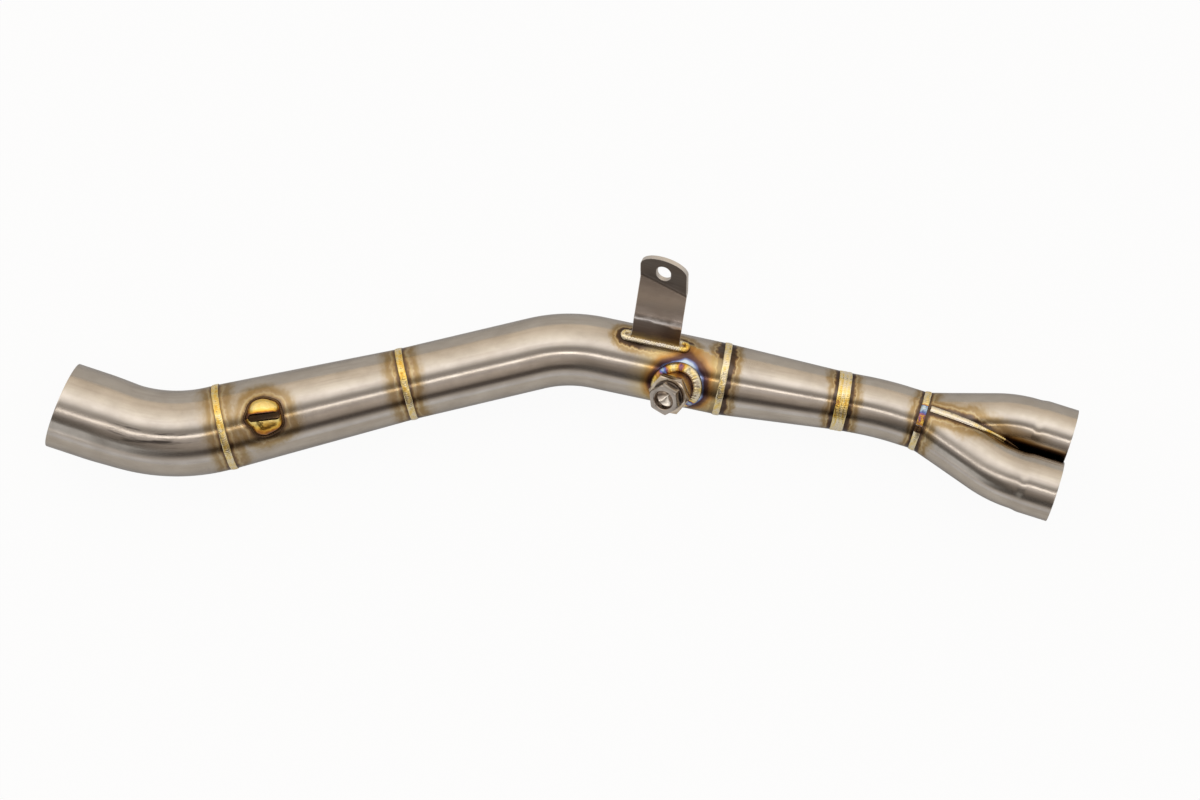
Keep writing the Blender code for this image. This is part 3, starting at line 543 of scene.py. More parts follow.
def grown(tree, name, marks, values):
    """The mesh that a Geometry Nodes tree grows from ring marks."""
    points = bpy.data.meshes.new("marks")
    points.vertices.add(len(marks))
    points.vertices.foreach_set("co", [value for mark in marks for value in mark.centre])
    for field_name in Mark._fields[1:]:
        keep_values(points, field_name, [getattr(mark, field_name) for mark in marks])
    obj = link_object("marks", points)
    modifier = obj.modifiers.new("grow", "NODES")
    modifier.node_group = tree
    for item in tree.interface.items_tree:
        if item.in_out == "INPUT" and item.name in values:
            modifier[item.identifier] = values[item.name]
    return only_material(plain_mesh(obj, name), values["Material"])


def only_material(mesh, finish):
    """Give the whole mesh one material."""
    mesh.materials.clear()
    mesh.materials.append(finish)
    mesh.polygons.foreach_set("material_index", [0] * len(mesh.polygons))
    return mesh


def add_piece(name, mesh, stands_for, sharp=32):
    """A finished piece that rides on the pipe and stands for a CAD node."""
    mesh.shade_smooth()
    mesh.set_sharp_from_angle(angle=radians(sharp))
    obj = link_object(name, mesh)
    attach(obj, "root")
    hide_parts(stands_for)


def with_modifiers(mesh, *steps):
    """The mesh after modifiers, given as (type, settings)."""
    obj = link_object("step", mesh)
    for kind, settings in steps:
        modifier = obj.modifiers.new(kind.lower(), kind)
        for key, value in settings.items():
            setattr(modifier, key, value)
    return plain_mesh(obj, mesh.name)


def bevel(width, segments, angle):
    """A bevel of the edges that turn by more than an angle."""
    return "BEVEL", {"width": width, "segments": segments, "limit_method": "ANGLE", "angle_limit": radians(angle)}


def thickened(thickness, offset):
    """A wall of even thickness."""
    return "SOLIDIFY", {"thickness": thickness, "offset": offset, "use_even_offset": True}


def walled(mesh):
    """The skin as a tube wall with its edges just broken."""
    return with_modifiers(mesh, thickened(WALL, -1.0), bevel(0.12 * MM, 2, 60))


def cleaned(mesh):
    """The mesh without doubled points, faces of no area or faces that hang on an edge."""
    with editing(mesh) as mesh_data:
        for reach in (CLOSE, 1.5 * CLOSE):
            bmesh.ops.remove_doubles(mesh_data, verts=mesh_data.verts, dist=reach)
            bmesh.ops.dissolve_degenerate(mesh_data, edges=mesh_data.edges, dist=reach)
            fill_holes(mesh_data)
            bmesh.ops.triangulate(mesh_data, faces=mesh_data.faces)
            bmesh.ops.dissolve_degenerate(mesh_data, edges=mesh_data.edges, dist=reach)
            hanging = [face for face in mesh_data.faces if sum(edge.is_boundary for edge in face.edges) > 1]
            bmesh.ops.delete(mesh_data, geom=hanging, context="FACES")
            if all(len(edge.link_faces) == 2 for edge in mesh_data.edges):
                break
        bmesh.ops.recalc_face_normals(mesh_data, faces=mesh_data.faces)
    return mesh


def mesh_from(mesh_data, name, finish):
    """A mesh with one material from a bmesh, its faces turned outwards."""
    bmesh.ops.recalc_face_normals(mesh_data, faces=mesh_data.faces)
    mesh = bpy.data.meshes.new(name)
    mesh_data.to_mesh(mesh)
    mesh_data.free()
    mesh.materials.append(finish)
    return mesh


def loft(loops, closed=False):
    """Skin equal loops of points; closed joins the last loop to the first, else both are capped."""
    mesh_data = bmesh.new()
    rows = [[mesh_data.verts.new(point) for point in loop] for loop in loops]
    pairs = list(zip(rows, rows[1:]))
    if closed:
        pairs.append((rows[-1], rows[0]))
    else:
        mesh_data.faces.new(rows[0])
        mesh_data.faces.new(rows[-1])
    count = len(rows[0])
    for low, high in pairs:
        for i in range(count):
            j = (i + 1) % count
            mesh_data.faces.new((low[i], low[j], high[j], high[i]))
    return mesh_data


def circle(radius, sides, z=0.0):
    """Points of a circle about Z."""
    turns = [2 * pi * i / sides for i in range(sides)]
    return [Vector((radius * cos(t), radius * sin(t), z)) for t in turns]


def drop_to_tube(place, x, y, radius):
    """Height in a frame beside the tube at which its axis direction meets the tube at x, y."""
    point = place @ Vector((x, y, 0))
    ray = place.to_3x3() @ UP
    height = 0.0
    for _ in range(6):
        size = radius((point + ray * height).x)
        flat_ray, flat_point = ray.yz, point.yz
        a = flat_ray.dot(flat_ray)
        b = flat_ray.dot(flat_point)
        c = flat_point.dot(flat_point) - size * size
        height = (-b + sqrt(max(b * b - a * c, 0.0))) / a
    return height


# Finishes


def finish_tree(name):
    """A new material's tree and its shader, metal all over."""
    made = bpy.data.materials.new(name)
    made.use_nodes = True
    shader = made.node_tree.nodes["Principled BSDF"]
    feed(shader, {"Metallic": 1.0})
    return made, made.node_tree, shader


def held(tree, *names, output="Fac"):
    """Values that the points keep under these names."""
    return [field(tree, "ShaderNodeAttribute", output=output, attribute_name=name) for name in names]


def noise_at(place, stretch, detail=2.0, roughness=0.5):
    """Noise from 0 to 1 at a place stretched by a vector of features per metre."""
    return field(place.tree, "ShaderNodeTexNoise", {
        "Vector": place * stretch, "Scale": 1.0, "Detail": detail, "Roughness": roughness})


def object_noise(tree, scale, detail=2.0):
    """Noise on Object coordinates."""
    return noise_at(field(tree, "ShaderNodeTexCoord", output="Object"), (scale,) * 3, detail)


def ranged(value, low, high, to_low=0.0, to_high=1.0):
    """A value mapped from one range to another, held at its ends."""
    return field(value.tree, "ShaderNodeMapRange", {
        "Value": value, "From Min": low, "From Max": high, "To Min": to_low, "To Max": to_high})


def ramp(value, *stops):
    """Colour and alpha of a colour ramp; each stop is a place and a colour, with or without its alpha."""
    made = node(value.tree, "ShaderNodeValToRGB", {"Fac": value})
    band = made.color_ramp.elements
    band.remove(band[-1])
    for i, (place, colour) in enumerate(stops):
        stop = band.new(place) if i else band[0]
        stop.position = place
        stop.color = (*colour, 1.0)[:4]
    return [Field(value.tree, output) for output in made.outputs]


def mixed(share, one, other):
    """Two colours mixed by a share."""
    one, other = [colour if isinstance(colour, Field) else (*colour, 1.0) for colour in (one, other)]
    return field(share.tree, "ShaderNodeMix", {0: share, 6: one, 7: other}, 2, data_type="RGBA")


def bumped(*layers):
    """Normal of bump layers in a chain; each is a height and its depth in metres."""
    below = {}
    for height, depth in layers:
        normal = field(height.tree, "ShaderNodeBump", {"Height": height, "Distance": depth, "Strength": 1.0, **below})
        below = {"Normal": normal}
    return normal


def brushed_steel():
    """Polished tube: brushed round the pipe, with mottling, heat tints beside each weld, and painted shade under the
    hook and deep between the legs, with a brown haze on the upper leg.
    """
    made, tree, shader = finish_tree("brushed steel with heat tint")
    pipe, axis = held(tree, "pipe", "axis", output="Vector")
    toe, scorch, warmth, soot = held(tree, "toe", "scorch", "boss_warmth", "soot")
    brushing = noise_at(pipe, (700.0, 40.0, 40.0), 2.0, 0.6)
    streaks = noise_at(pipe, (10.0, 210.0, 210.0), 3.0, 0.6)
    mottling = noise_at(pipe, (48.0, 65.0, 65.0), 3.0, 0.6)
    waves = noise_at(pipe, (9.0, 26.0, 26.0), 1.0)
    patchy = noise_at(pipe, (75.0, 95.0, 95.0))
    broad = noise_at(pipe, (30.0, 34.0, 34.0), 1.0)
    frayed = noise_at(pipe, (420.0, 250.0, 250.0))
    colour = mixed(ranged(mottling, 0.35, 0.70), STEEL, STEEL_DULL)
    colour = mixed(ranged(streaks, 0.5, 0.8, 0.0, 0.35), colour, (0.29, 0.25, 0.22))
    colour = mixed(outlet_smudges(pipe), colour, (0.045, 0.036, 0.034))

    stray = (patchy - 0.5) * ranged(toe, 0.0, 0.010, 0.0005, 0.009)
    stray += (broad - 0.5) * ranged(toe, 0.0, 0.008, 0.003, 0.012)
    stray += (frayed - 0.5) * ranged(toe, 0.0, 0.003, 0.0, 0.0045)
    reach = (toe + stray + 0.001) / ranged(scorch, 0.0, 1.0, 0.020, 0.0115) + ranged(scorch, 0.0, 1.0, 0.235, 0.0)
    tint, strength = ramp(
        reach, (0.00, (0.032, 0.015, 0.009, 0.98)), (0.26, (0.050, 0.024, 0.012, 0.97)),
        (0.325, (0.150, 0.080, 0.026, 0.94)), (0.38, (0.360, 0.240, 0.080, 0.86)),
        (0.43, (0.430, 0.330, 0.150, 0.74)), (0.48, (0.300, 0.190, 0.065, 0.80)),
        (0.55, (0.270, 0.170, 0.045, 0.86)), (0.65, (0.290, 0.195, 0.070, 0.76)),
        (0.80, (0.360, 0.280, 0.160, 0.40)), (1.00, (0.440, 0.380, 0.310, 0.00)))
    colour = mixed(strength * ranged(patchy, 0.25, 0.6, 0.80, 1.0), colour, tint)

    blued, strength = ramp(
        warmth + ranged(patchy, 0.3, 0.7, -0.05, 0.05),
        (0.00, (0.48, 0.41, 0.30, 0.0)), (0.25, (0.52, 0.43, 0.26, 0.34)), (0.55, (0.56, 0.43, 0.20, 0.60)),
        (0.72, (0.42, 0.22, 0.06, 0.84)), (0.82, (0.12, 0.055, 0.035, 0.93)), (0.92, (0.06, 0.035, 0.05, 0.94)),
        (0.96, (0.14, 0.18, 0.36, 0.92)), (1.00, (0.44, 0.53, 0.62, 0.90)))
    colour = mixed(strength, colour, blued)

    # Painted shade under the hook and deep between the legs, and a brown haze on the upper leg beside them
    shade_and_haze_colour, strength = ramp(
        soot * ranged(patchy, 0.2, 0.55, 0.75, 1.0), (0.00, (0.36, 0.27, 0.14, 0.0)),
        (0.30, (0.30, 0.20, 0.09, 0.6)), (0.60, (0.09, 0.05, 0.025, 0.9)), (1.00, (0.016, 0.012, 0.010, 1.0)))
    feed(shader, {
        "Base Color": mixed(strength, colour, shade_and_haze_colour),
        "Roughness": ranged(mottling, 0.3, 0.7, 0.20, 0.27) + ranged(brushing, 0.3, 0.7, -0.004, 0.006),
        "Anisotropic": 0.85, "Specular Tint": RIM_TINT, "Tangent": axis,
        "Normal": bumped((waves, 0.00008), (streaks, 0.000005), (brushing, 0.0000008))})
    return made


def outlet_smudges(pipe):
    """Dark rubbed streaks along the front of the outlet's bend."""
    long_way, round_way, out_way = [pipe.part(axis) for axis in "XYZ"]
    dabs = ranged(noise_at(pipe, (55.0, 420.0, 420.0)), 0.52, 0.66, 0.0, 0.85)
    dabs *= ranged(long_way, 0.034, 0.046)
    dabs *= ranged(long_way, 0.092, 0.112, 1.0, 0.0)
    dabs *= ranged(round_way, 0.000, 0.003, 1.0, 0.0)
    dabs *= ranged(round_way, -0.012, -0.006)
    return dabs * ranged(out_way, 0.0, 0.01)


def weld_metal():
    """Weld bead: temper colours by the bead's own heat, dark pits, browned edges and creases."""
    made, tree, shader = finish_tree("weld bead with temper colours")
    bead, = held(tree, "bead", output="Vector")
    crest, drop, hue = held(tree, "crest", "drop", "hue")
    patches = noise_at(bead, (190.0, 0.9, 0.9))
    pits = noise_at(bead, (230.0, 1.3, 1.3), 1.0)
    fine = noise_at(bead, (2600.0, 9.0, 9.0))
    temper, _ = ramp(
        hue + ranged(patches, 0.3, 0.7, -0.13, 0.13) + ranged(drop, 0.0, 1.0, -0.04, 0.04),
        (0.00, (0.66, 0.62, 0.55)), (0.20, (0.74, 0.66, 0.46)), (0.34, (0.76, 0.60, 0.24)),
        (0.46, (0.74, 0.48, 0.09)), (0.58, (0.42, 0.20, 0.06)), (0.67, (0.26, 0.10, 0.16)),
        (0.76, (0.08, 0.12, 0.36)), (0.88, (0.34, 0.46, 0.56)), (1.00, (0.56, 0.62, 0.64)))
    burnt = mixed(ranged(patches, 0.3, 0.7), (0.055, 0.030, 0.018), (0.13, 0.075, 0.035))
    colour = mixed(ranged(hue, 1.2, 1.4), temper, burnt)
    edge = bead.part("Y").math("ABSOLUTE")
    colour = mixed(ranged(edge, 0.86, 1.0, 0.0, 0.6), colour, (0.14, 0.085, 0.035))
    colour = mixed(ranged(crest, 0.0, 0.45, 0.5, 0.0), colour, (0.13, 0.085, 0.035))
    colour = mixed(ranged(pits, 0.65, 0.74, 0.0, 0.6), colour, (0.11, 0.11, 0.075))
    feed(shader, {"Base Color": colour, "Roughness": ranged(patches, 0.3, 0.7, 0.20, 0.34),
                  "Normal": bumped((fine, 0.00004))})
    return made


def hook_gold():
    """The hook: straw gold over its crown, orange to purple-brown low down; the dark in its slot and under its dome is
    painted shade, and the light lip beside the slot a painted highlight.
    """
    made, tree, shader = finish_tree("heat-tinted hook")
    rise, = held(tree, "rise")
    drift = object_noise(tree, 260.0)
    tint, _ = ramp(
        rise + ranged(drift, 0.3, 0.7, -0.10, 0.10), (0.00, (0.05, 0.025, 0.02)), (0.18, (0.16, 0.07, 0.045)),
        (0.34, (0.42, 0.17, 0.025)), (0.52, (0.66, 0.38, 0.06)), (0.78, (0.74, 0.52, 0.13)), (1.00, (0.80, 0.64, 0.26)))
    feed(shader, {"Base Color": tint, "Roughness": ranged(drift, 0.3, 0.7, 0.14, 0.24),
                  "Normal": bumped((drift, 0.0004), (object_noise(tree, 900.0, 3.0), 0.00004))})
    return made


def bracket_sheet():
    """Bracket: brown rolled sheet, scorched low down, with a painted highlight over its lower fold, painted shade on
    its head and a painted highlight along its cut edges.
    """
    made, tree, shader = finish_tree("bracket sheet")
    strip, = held(tree, "strip", output="Vector")
    edge, = held(tree, "edge")
    grain = noise_at(strip, (45.0, 40.0, 1500.0), 3.0, 0.6)
    cloud = noise_at(strip, (60.0, 70.0, 130.0), 3.0)
    level = strip.part("Z") + ranged(cloud, 0.3, 0.7, -0.002, 0.002)
    # Colours up the strip: the bright band over the lower fold is a painted highlight and the dark head painted shade
    tone, _ = ramp(
        ranged(level, 0.0, 0.072), (0.000, (0.50, 0.38, 0.19)), (0.060, (0.40, 0.28, 0.13)),
        (0.130, (0.15, 0.105, 0.08)), (0.270, (0.15, 0.122, 0.108)), (0.284, (0.30, 0.270, 0.250)),
        (0.298, (0.92, 0.880, 0.860)), (0.316, (0.92, 0.880, 0.860)), (0.332, (0.45, 0.410, 0.380)),
        (0.350, (0.26, 0.225, 0.200)), (0.420, (0.19, 0.162, 0.138)), (0.520, (0.25, 0.208, 0.170)),
        (0.620, (0.19, 0.158, 0.132)), (0.720, (0.12, 0.102, 0.088)), (1.000, (0.10, 0.087, 0.076)))
    colour = mixed(ranged(cloud, 0.35, 0.75, 0.0, 0.4), tone, (0.14, 0.105, 0.08))
    colour = mixed(ranged(grain, 0.4, 0.75, 0.0, 0.2), colour, (0.28, 0.24, 0.205))
    # Painted highlight along the cut edges
    colour = mixed(ranged(edge, 0.4, 0.9), colour, (0.56, 0.53, 0.50))
    rough = ranged(cloud, 0.3, 0.7, 0.34, 0.42) + ranged(edge, 0.4, 0.9, 0.0, 0.05)
    feed(shader, {"Base Color": colour, "Roughness": rough, "Normal": bumped((grain, 0.000008))})
    return made


def turned_steel(name, worn, scale, *levels):
    """Machined steel with turning lines about its own axis; levels are colours up that axis, and the wall of a cup gets
    painted shade.
    """
    made, tree, shader = finish_tree(name)
    lathe, = held(tree, "lathe", output="Vector")
    height = lathe.part("Z")
    lines = noise_at(lathe, (scale, scale, scale))
    cloud = object_noise(tree, 210.0, 3.0)
    tone, _ = ramp(ranged(height + ranged(cloud, 0.3, 0.7, -0.0006, 0.0006), 0.0, 0.025), *levels)
    paint = mixed(ranged(cloud, 0.35, 0.75, 0.0, 0.7), tone, worn)
    # Painted shade on the wall of the plug's cup
    from_cup = (lathe.part("X") - PLUG_CUP / 2).math("ABSOLUTE")
    paint = mixed(ranged(from_cup, 0.0001, 0.0004, 0.5, 0.0), paint, (0.17, 0.105, 0.07))
    rough = ranged(height, 0.008, 0.010, 0.16, 0.0) + ranged(cloud, 0.3, 0.7, 0.15, 0.25)
    feed(shader, {"Base Color": paint, "Roughness": rough, "Normal": bumped((lines, 0.000010), (cloud, 0.00003))})
    return made


steel = brushed_steel()
weld = weld_metal()
gold = hook_gold()
sheet = bracket_sheet()
plug_steel = turned_steel("turned plug steel", (0.28, 0.245, 0.215), 1800.0, (0.60, (0.66, 0.63, 0.57)),
                          (0.84, (0.62, 0.58, 0.52)), (0.90, (0.38, 0.34, 0.30)))
boss_steel = turned_steel(
    "heat-tinted boss steel", (0.42, 0.30, 0.17), 900.0, (0.00, (0.16, 0.10, 0.16)), (0.14, (0.36, 0.17, 0.04)),
    (0.30, (0.58, 0.34, 0.08)), (0.37, (0.50, 0.34, 0.15)), (0.42, (0.52, 0.45, 0.37)), (1.00, (0.60, 0.55, 0.48)))
# The washer is painted near-black, the shade of the gap under the plug's head
washer_steel = turned_steel("blackened washer", (0.16, 0.13, 0.11), 700.0, (0.0, (0.085, 0.070, 0.060)))
tube_skin = tube_tree()
bead_skin = bead_tree()


# Weld beads


def ring_marks(joint, radius, hue, width=BEAD_WIDTH, height=BEAD_HEIGHT, shift=0.0, slope=None):
    """Marks of a bead round a joint; slope(turn) leans it with the metal beside it."""
    marks = []
    count = ceil(2 * pi * radius / (0.22 * MM))
    for i in range(count + 1):
        turn = 2 * pi * (i % count) / count
        outward = Vector((0, cos(turn), sin(turn)))
        lean = slope(turn) if slope else 0.0
        side = (Vector((1, 0, 0)) + outward * lean).normalized()
        up = (outward - Vector((1, 0, 0)) * lean).normalized()
        centre = joint @ (Vector((shift, 0, 0)) + outward * (radius + lean * shift))
        turned_by = joint.to_3x3()
        marks.append(Mark(centre, turned_by @ side * width / 2, turned_by @ up * height, radius * turn, hue(turn)))
    return marks


def bead_mesh(name, marks, pitch=1.5 * MM, depth=0.24 * MM, wander=0.25, root=0.6, back=1.0, seed=1.0):
    """A rippled bead along its marks, with its open ends capped."""
    mesh = grown(bead_skin, name, marks, {
        "Sides": 22, "Root": root, "Back": back, "Ripple Pitch": pitch, "Ripple Depth": depth,
        "Wander": wander, "Seed": seed, "Material": weld})
    with editing(mesh) as mesh_data:
        fill_holes(mesh_data)
        if mesh_data.calc_volume(signed=True) < 0:
            bmesh.ops.reverse_faces(mesh_data, faces=mesh_data.faces)
    return mesh


def with_peaks(base, *peaks):
    """A value that varies with the turn: a base, raised or lowered by peaks, given as (degrees, spread, by)."""

    def value(turn):
        result = base
        for centre, spread, by in peaks:
            away = (degrees(turn) - centre + 180) % 360 - 180
            result += by * exp(-(away / spread) ** 2)
        return result

    return value


def with_steps(*steps):
    """A value that varies with the turn, straight between steps given as (degrees, value)."""
    turns, values = zip(*steps)
    return lambda turn: float(np.interp(degrees(turn), turns, values))


def joined(name, meshes):
    """Several meshes of one material as one."""
    mesh_data = bmesh.new()
    for mesh in meshes:
        mesh_data.from_mesh(mesh)
    whole = bpy.data.meshes.new(name)
    mesh_data.to_mesh(whole)
    mesh_data.free()
    return only_material(whole, meshes[0].materials[0])


def collector_slope(turn):
    """Half of the slope with which the legs leave the neck sideways."""
    return tan(LEG_SPREAD) * abs(cos(turn)) / 2


def seam_marks():
    """Marks of the bead down the front crease, round the crotch and up the rear one."""
    near = (BEAD_WIDTH / 2 + SEAM_CROWN) / cos(LEG_SPREAD)
    span = radians(90) - asin(crease_offset(near) / LEG_RADIUS)
    steps = 360
    turned_by = collector.to_3x3()
    marks = []
    distance = 0.0
    before = None
    for i in range(-steps, steps + 1):
        share = i / steps
        turn = radians(90) + copysign(abs(share) ** 1.6, share) * span
        point, heading = crease_station(turn)
        outward = Vector((sin(heading) * sin(turn), 0, cos(turn))).normalized()
        crown = SEAM_CROWN + (SEAM_WEB - SEAM_CROWN) * outward.x ** 2
        centre = collector @ (point + outward * (crown - SEAM_CROWN) / 2)
        if before:
            distance += (centre - before).length
        before = centre
        # Broad and pale at both ends, narrower and straw-coloured further in, and burnt round the crotch
        broad = 0.52 + 0.48 * smooth_step((abs(share) - 0.62) / 0.2)
        side = turned_by @ Vector((0, SEAM_WIDTH / 2 * broad, 0))
        up = turned_by @ outward * (crown + SEAM_CROWN) / 2
        heat = 0.08 + 0.26 * smooth_step((0.85 - abs(share)) / 0.2)
        marks.append(Mark(centre, side, up, distance, heat if point.x < SEAM_BRIGHT else BURNT))
    return marks


def boss_place():
    """The boss in the frame of the straight tube: origin on its surface, +Z outwards."""
    round_tube = Matrix.Rotation(BOSS_ANGLE, 4, "X")
    lift = Matrix.Translation((0, 0, MAIN_OD / 2))
    return round_tube @ lift @ Matrix.Rotation(-BOSS_TILT, 4, "Y")


def boss_frame():
    """The boss's place on the pipe."""
    return along(bend_end, BOSS_FROM_BEND) @ boss_place()


def taper_radius(distance):
    """Outer radius of the taper at a distance from its wide end."""
    return (OUTLET_OD + (MAIN_OD - OUTLET_OD) * distance / TAPER_LENGTH) / 2


def hook_place():
    """The hook in the frame of the taper: origin on its surface, +Z outwards."""
    slope = atan2((OUTLET_OD - MAIN_OD) / 2, TAPER_LENGTH)
    lift = Matrix.Translation((HOOK_FROM_WELD, 0, taper_radius(HOOK_FROM_WELD)))
    return lift @ Matrix.Rotation(slope, 4, "Y") @ Matrix.Rotation(HOOK_TURN, 4, "Z")


# The hook's outline has ears at the slot's ends and hollows beside them
hook_reach = with_peaks(1.0, (181, 17, 0.12), (214, 12, -0.07), (-27, 19, 0.12), (36, 17, 0.09), (-72, 18, -0.04),
                        (130, 24, 0.06))


def hook_outline(share, count):
    """A circle's points drawn out to the hook's outline."""
    return [point * hook_reach(atan2(point.y, point.x)) for point in circle(share, count)]


def surface_outline(place, radius, outline):
    """Outline points dropped to the tube, with the tube's normal at each, in the place's frame."""
    points, normals = [], []
    back = place.inverted().to_3x3()
    for x, y in outline:
        point = Vector((x, y, drop_to_tube(place, x, y, radius)))
        on_tube = place @ point
        points.append(point)
        normals.append((back @ Vector((0, on_tube.y, on_tube.z))).normalized())
    return points, normals


def corner_fillet(points, normals, size, hue, place):
    """Marks of a fillet, as wide and high as size says, right round what stands on a tube."""
    count = len(points)
    turned_by = place.to_3x3()
    marks = []
    distance = 0.0
    for i in [*range(count), 0]:
        distance = distance + (points[i] - points[i - 1]).length if i else 0.0
        tangent = (points[(i + 1) % count] - points[i - 1]).normalized()
        side = tangent.cross(normals[i]).normalized() * size[0]
        marks.append(Mark(place @ points[i], turned_by @ side, turned_by @ (normals[i] * size[1]), distance, hue(i)))
    return marks


def boss_weld_marks():
    """Marks of the fillet round the boss's wall."""
    count = 460
    outline = [(p.x, p.y) for p in circle(BOSS_WALL_OD / 2, count)]
    points, normals = surface_outline(boss_place(), lambda x: MAIN_OD / 2, outline)
    heat = with_peaks(0.20, (138, 16, 0.62), (-42, 14, 0.62), (95, 12, 0.44), (165, 14, 0.26), (-120, 40, 0.20))
    return corner_fillet(points, normals, (BOSS_BEAD, BOSS_BEAD_HEIGHT), lambda i: heat(2 * pi * i / count),
                         boss_frame())


def hook_weld_marks():
    """Marks of the thin fillet round the hook."""
    outline = [(p.x * HOOK_LENGTH / 2, p.y * HOOK_BREADTH / 2) for p in hook_outline(1.0, 360)]
    points, normals = surface_outline(hook_place(), taper_radius, outline)
    return corner_fillet(points, normals, (HOOK_BEAD, HOOK_BEAD), lambda i: BURNT, outlet.end @ hook_place())


def bracket_foot():
    """The frame of the bracket's foot on the tube."""
    lift = Matrix.Translation((0, 0, MAIN_OD / 2 + GAP))
    return turned(along(bend_end, BRACKET_FROM_BEND), -BRACKET_ANGLE, "X") @ lift


def bracket_weld_marks():
    """Marks of the fillet that runs right round the bracket's foot."""
    half_length = BRACKET_WIDTH / 2 + FOOT_FLARE
    half_width = BRACKET_THICKNESS / 2
    outline = [(side * (half_length - half_width + half_width * cos(turn)), side * half_width * sin(turn))
               for side in (1, -1) for turn in half_turns(-90, 23)]
    dense = []
    for one, other in zip(outline, outline[1:] + outline[:1]):
        pieces = max(1, ceil(dist(one, other) / (0.25 * MM)))
        for i in range(pieces):
            share = i / pieces
            dense.append((one[0] + (other[0] - one[0]) * share, one[1] + (other[1] - one[1]) * share))
    points, normals = [], []
    radius = MAIN_OD / 2
    for x, y in dense:
        drop = sqrt(radius ** 2 - y * y)
        points.append(Vector((x, y, drop - radius - GAP)))
        normals.append(Vector((0, y, drop)).normalized())

    def heat(i):
        end = smooth_step((abs(points[i].x) - 16.5 * MM) / (4 * MM))
        return 0.12 + (0.10 if points[i].x < 0 else 0.32) * end

    return corner_fillet(points, normals, (BRACKET_BEAD, BRACKET_BEAD_HEIGHT), heat, bracket_foot())


def add_welds():
    """Every bead of the pipe; returns one mesh of them all for the tubes to measure from."""
    neck_passes = ((-2.7 * MM, 0.24), (0.0, 0.12), (2.7 * MM, 0.18))
    collector_hue = with_steps(
        (60, 0.26), (84, 0.34), (88, 0.88), (96, 0.84), (106, 0.72), (114, 0.62), (121, 0.52), (128, 0.48),
        (129, BURNT), (142, BURNT), (143, 0.22), (330, 0.24))
    beads = {
        "outlet_weld": [ring_marks(outlet.end, OUTLET_OD / 2, hue=with_peaks(0.28, (60, 40, 0.12), (-60, 40, -0.05)))],
        "taper_weld": [ring_marks(taper.end, MAIN_OD / 2, hue=with_peaks(0.24, (70, 35, 0.20)))],
        "reducer_weld": [ring_marks(reducer_joint, MAIN_OD / 2, hue=with_peaks(0.22, (100, 60, 0.04)))],
        "neck_weld": [ring_marks(reducer.end, NECK_OD / 2, width=3.7 * MM, shift=shift,
                                 hue=with_peaks(base, (96, 34, 0.24))) for shift, base in neck_passes],
        "collector_weld": [ring_marks(collector, NECK_OD / 2, height=0.85 * MM, slope=collector_slope,
                                      hue=collector_hue)],
        "merge_seam_weld": [seam_marks()],
        "boss_weld": [boss_weld_marks()],
        "bracket_weld": [bracket_weld_marks()],
        "spring_hook_weld": [hook_weld_marks()]}
    forms = {
        "outlet_weld": {"depth": 0.16 * MM},
        "taper_weld": {"depth": 0.16 * MM},
        "reducer_weld": {"depth": 0.16 * MM},
        "neck_weld": {"depth": 0.12 * MM},
        "collector_weld": {"depth": 0.2 * MM},
        "merge_seam_weld": {"depth": 0.14 * MM, "root": 0.55, "wander": 0.12},
        "boss_weld": {"depth": 0.45 * MM, "root": 0.2, "back": 0.3, "pitch": 2.1 * MM, "wander": 0.12},
        "bracket_weld": {"depth": 0.4 * MM, "root": 0.3, "back": 0.3, "pitch": 1.9 * MM, "wander": 0.3},
        "spring_hook_weld": {"depth": 0.12 * MM, "root": 0.4, "back": 0.4, "wander": 0.2}}
    meshes = []
    for seed, (name, passes) in enumerate(beads.items(), 1):
        grown_passes = [bead_mesh(name + "_bead", marks, seed=seed + 0.37 * i, **forms[name])
                        for i, marks in enumerate(passes)]
        mesh = grown_passes[0] if len(grown_passes) == 1 else joined(name + "_bead", grown_passes)
        add_piece(name + "_bead", mesh, name, sharp=80)
        meshes.append(mesh)
    return link_object("welds", joined("welds", meshes))


# Tubes


def tube_marks(route, start, end, radius_at, from_start, step=1.1 * MM, lean_at=None, scorched=1.0):
    """Marks of a tube from start to end along its route, their heat tints more scorched further along the pipe."""
    marks = []
    for distance in spaced(start, end, step):
        place = route(distance)
        radius = radius_at(distance) * ROUND
        axes = place.to_3x3()
        lean = lean_at(distance) if lean_at else 0.0
        side = axes @ Vector((-radius * tan(lean), radius, 0))
        up = axes @ Vector((0, 0, radius))
        scorch = smooth_step((from_start + distance - SCORCH_START) / SCORCH_SPAN) * scorched
        marks.append(Mark(place.translation.copy(), side, up, from_start + distance, scorch))
    return marks


def tube_skin_mesh(name, marks, welds):
    """The bare skin of a tube."""
    return grown(tube_skin, name, marks, {
        "Sides": 96, "Root": 1.0, "Back": 1.0, "Welds": welds, "Material": steel})


def constant(value):
    """A function that gives the same value everywhere."""
    return lambda distance: value


def paint_points(mesh, name, value_at):
    """Keep a value on every point, worked out from its place."""
    keep_values(mesh, name, [value_at(vert.co) for vert in mesh.vertices])


def boss_warmth(point):
    """1 at the boss's weld, fading to 0 along the tube."""
    local = boss_frame().inverted() @ point
    if local.z < -0.02:
        return 0.0
    away = hypot(local.x, local.y) - BOSS_WALL_OD / 2 - BOSS_BEAD
    lean = 0.06 * (cos(atan2(local.y, local.x) - radians(48)) - 1.25)
    return limited(1 + lean - away / BOSS_HEAT_REACH)


def under_hook(point):
    """1 under the hook's dome, where no light reaches the taper."""
    local = (outlet.end @ hook_place()).inverted() @ point
    reach = hypot(local.x / HOOK_LENGTH, local.y / HOOK_BREADTH) * 2
    return 0.8 * (1 - smooth_step((reach - 0.95) / 0.13)) if local.z > -0.01 else 0.0


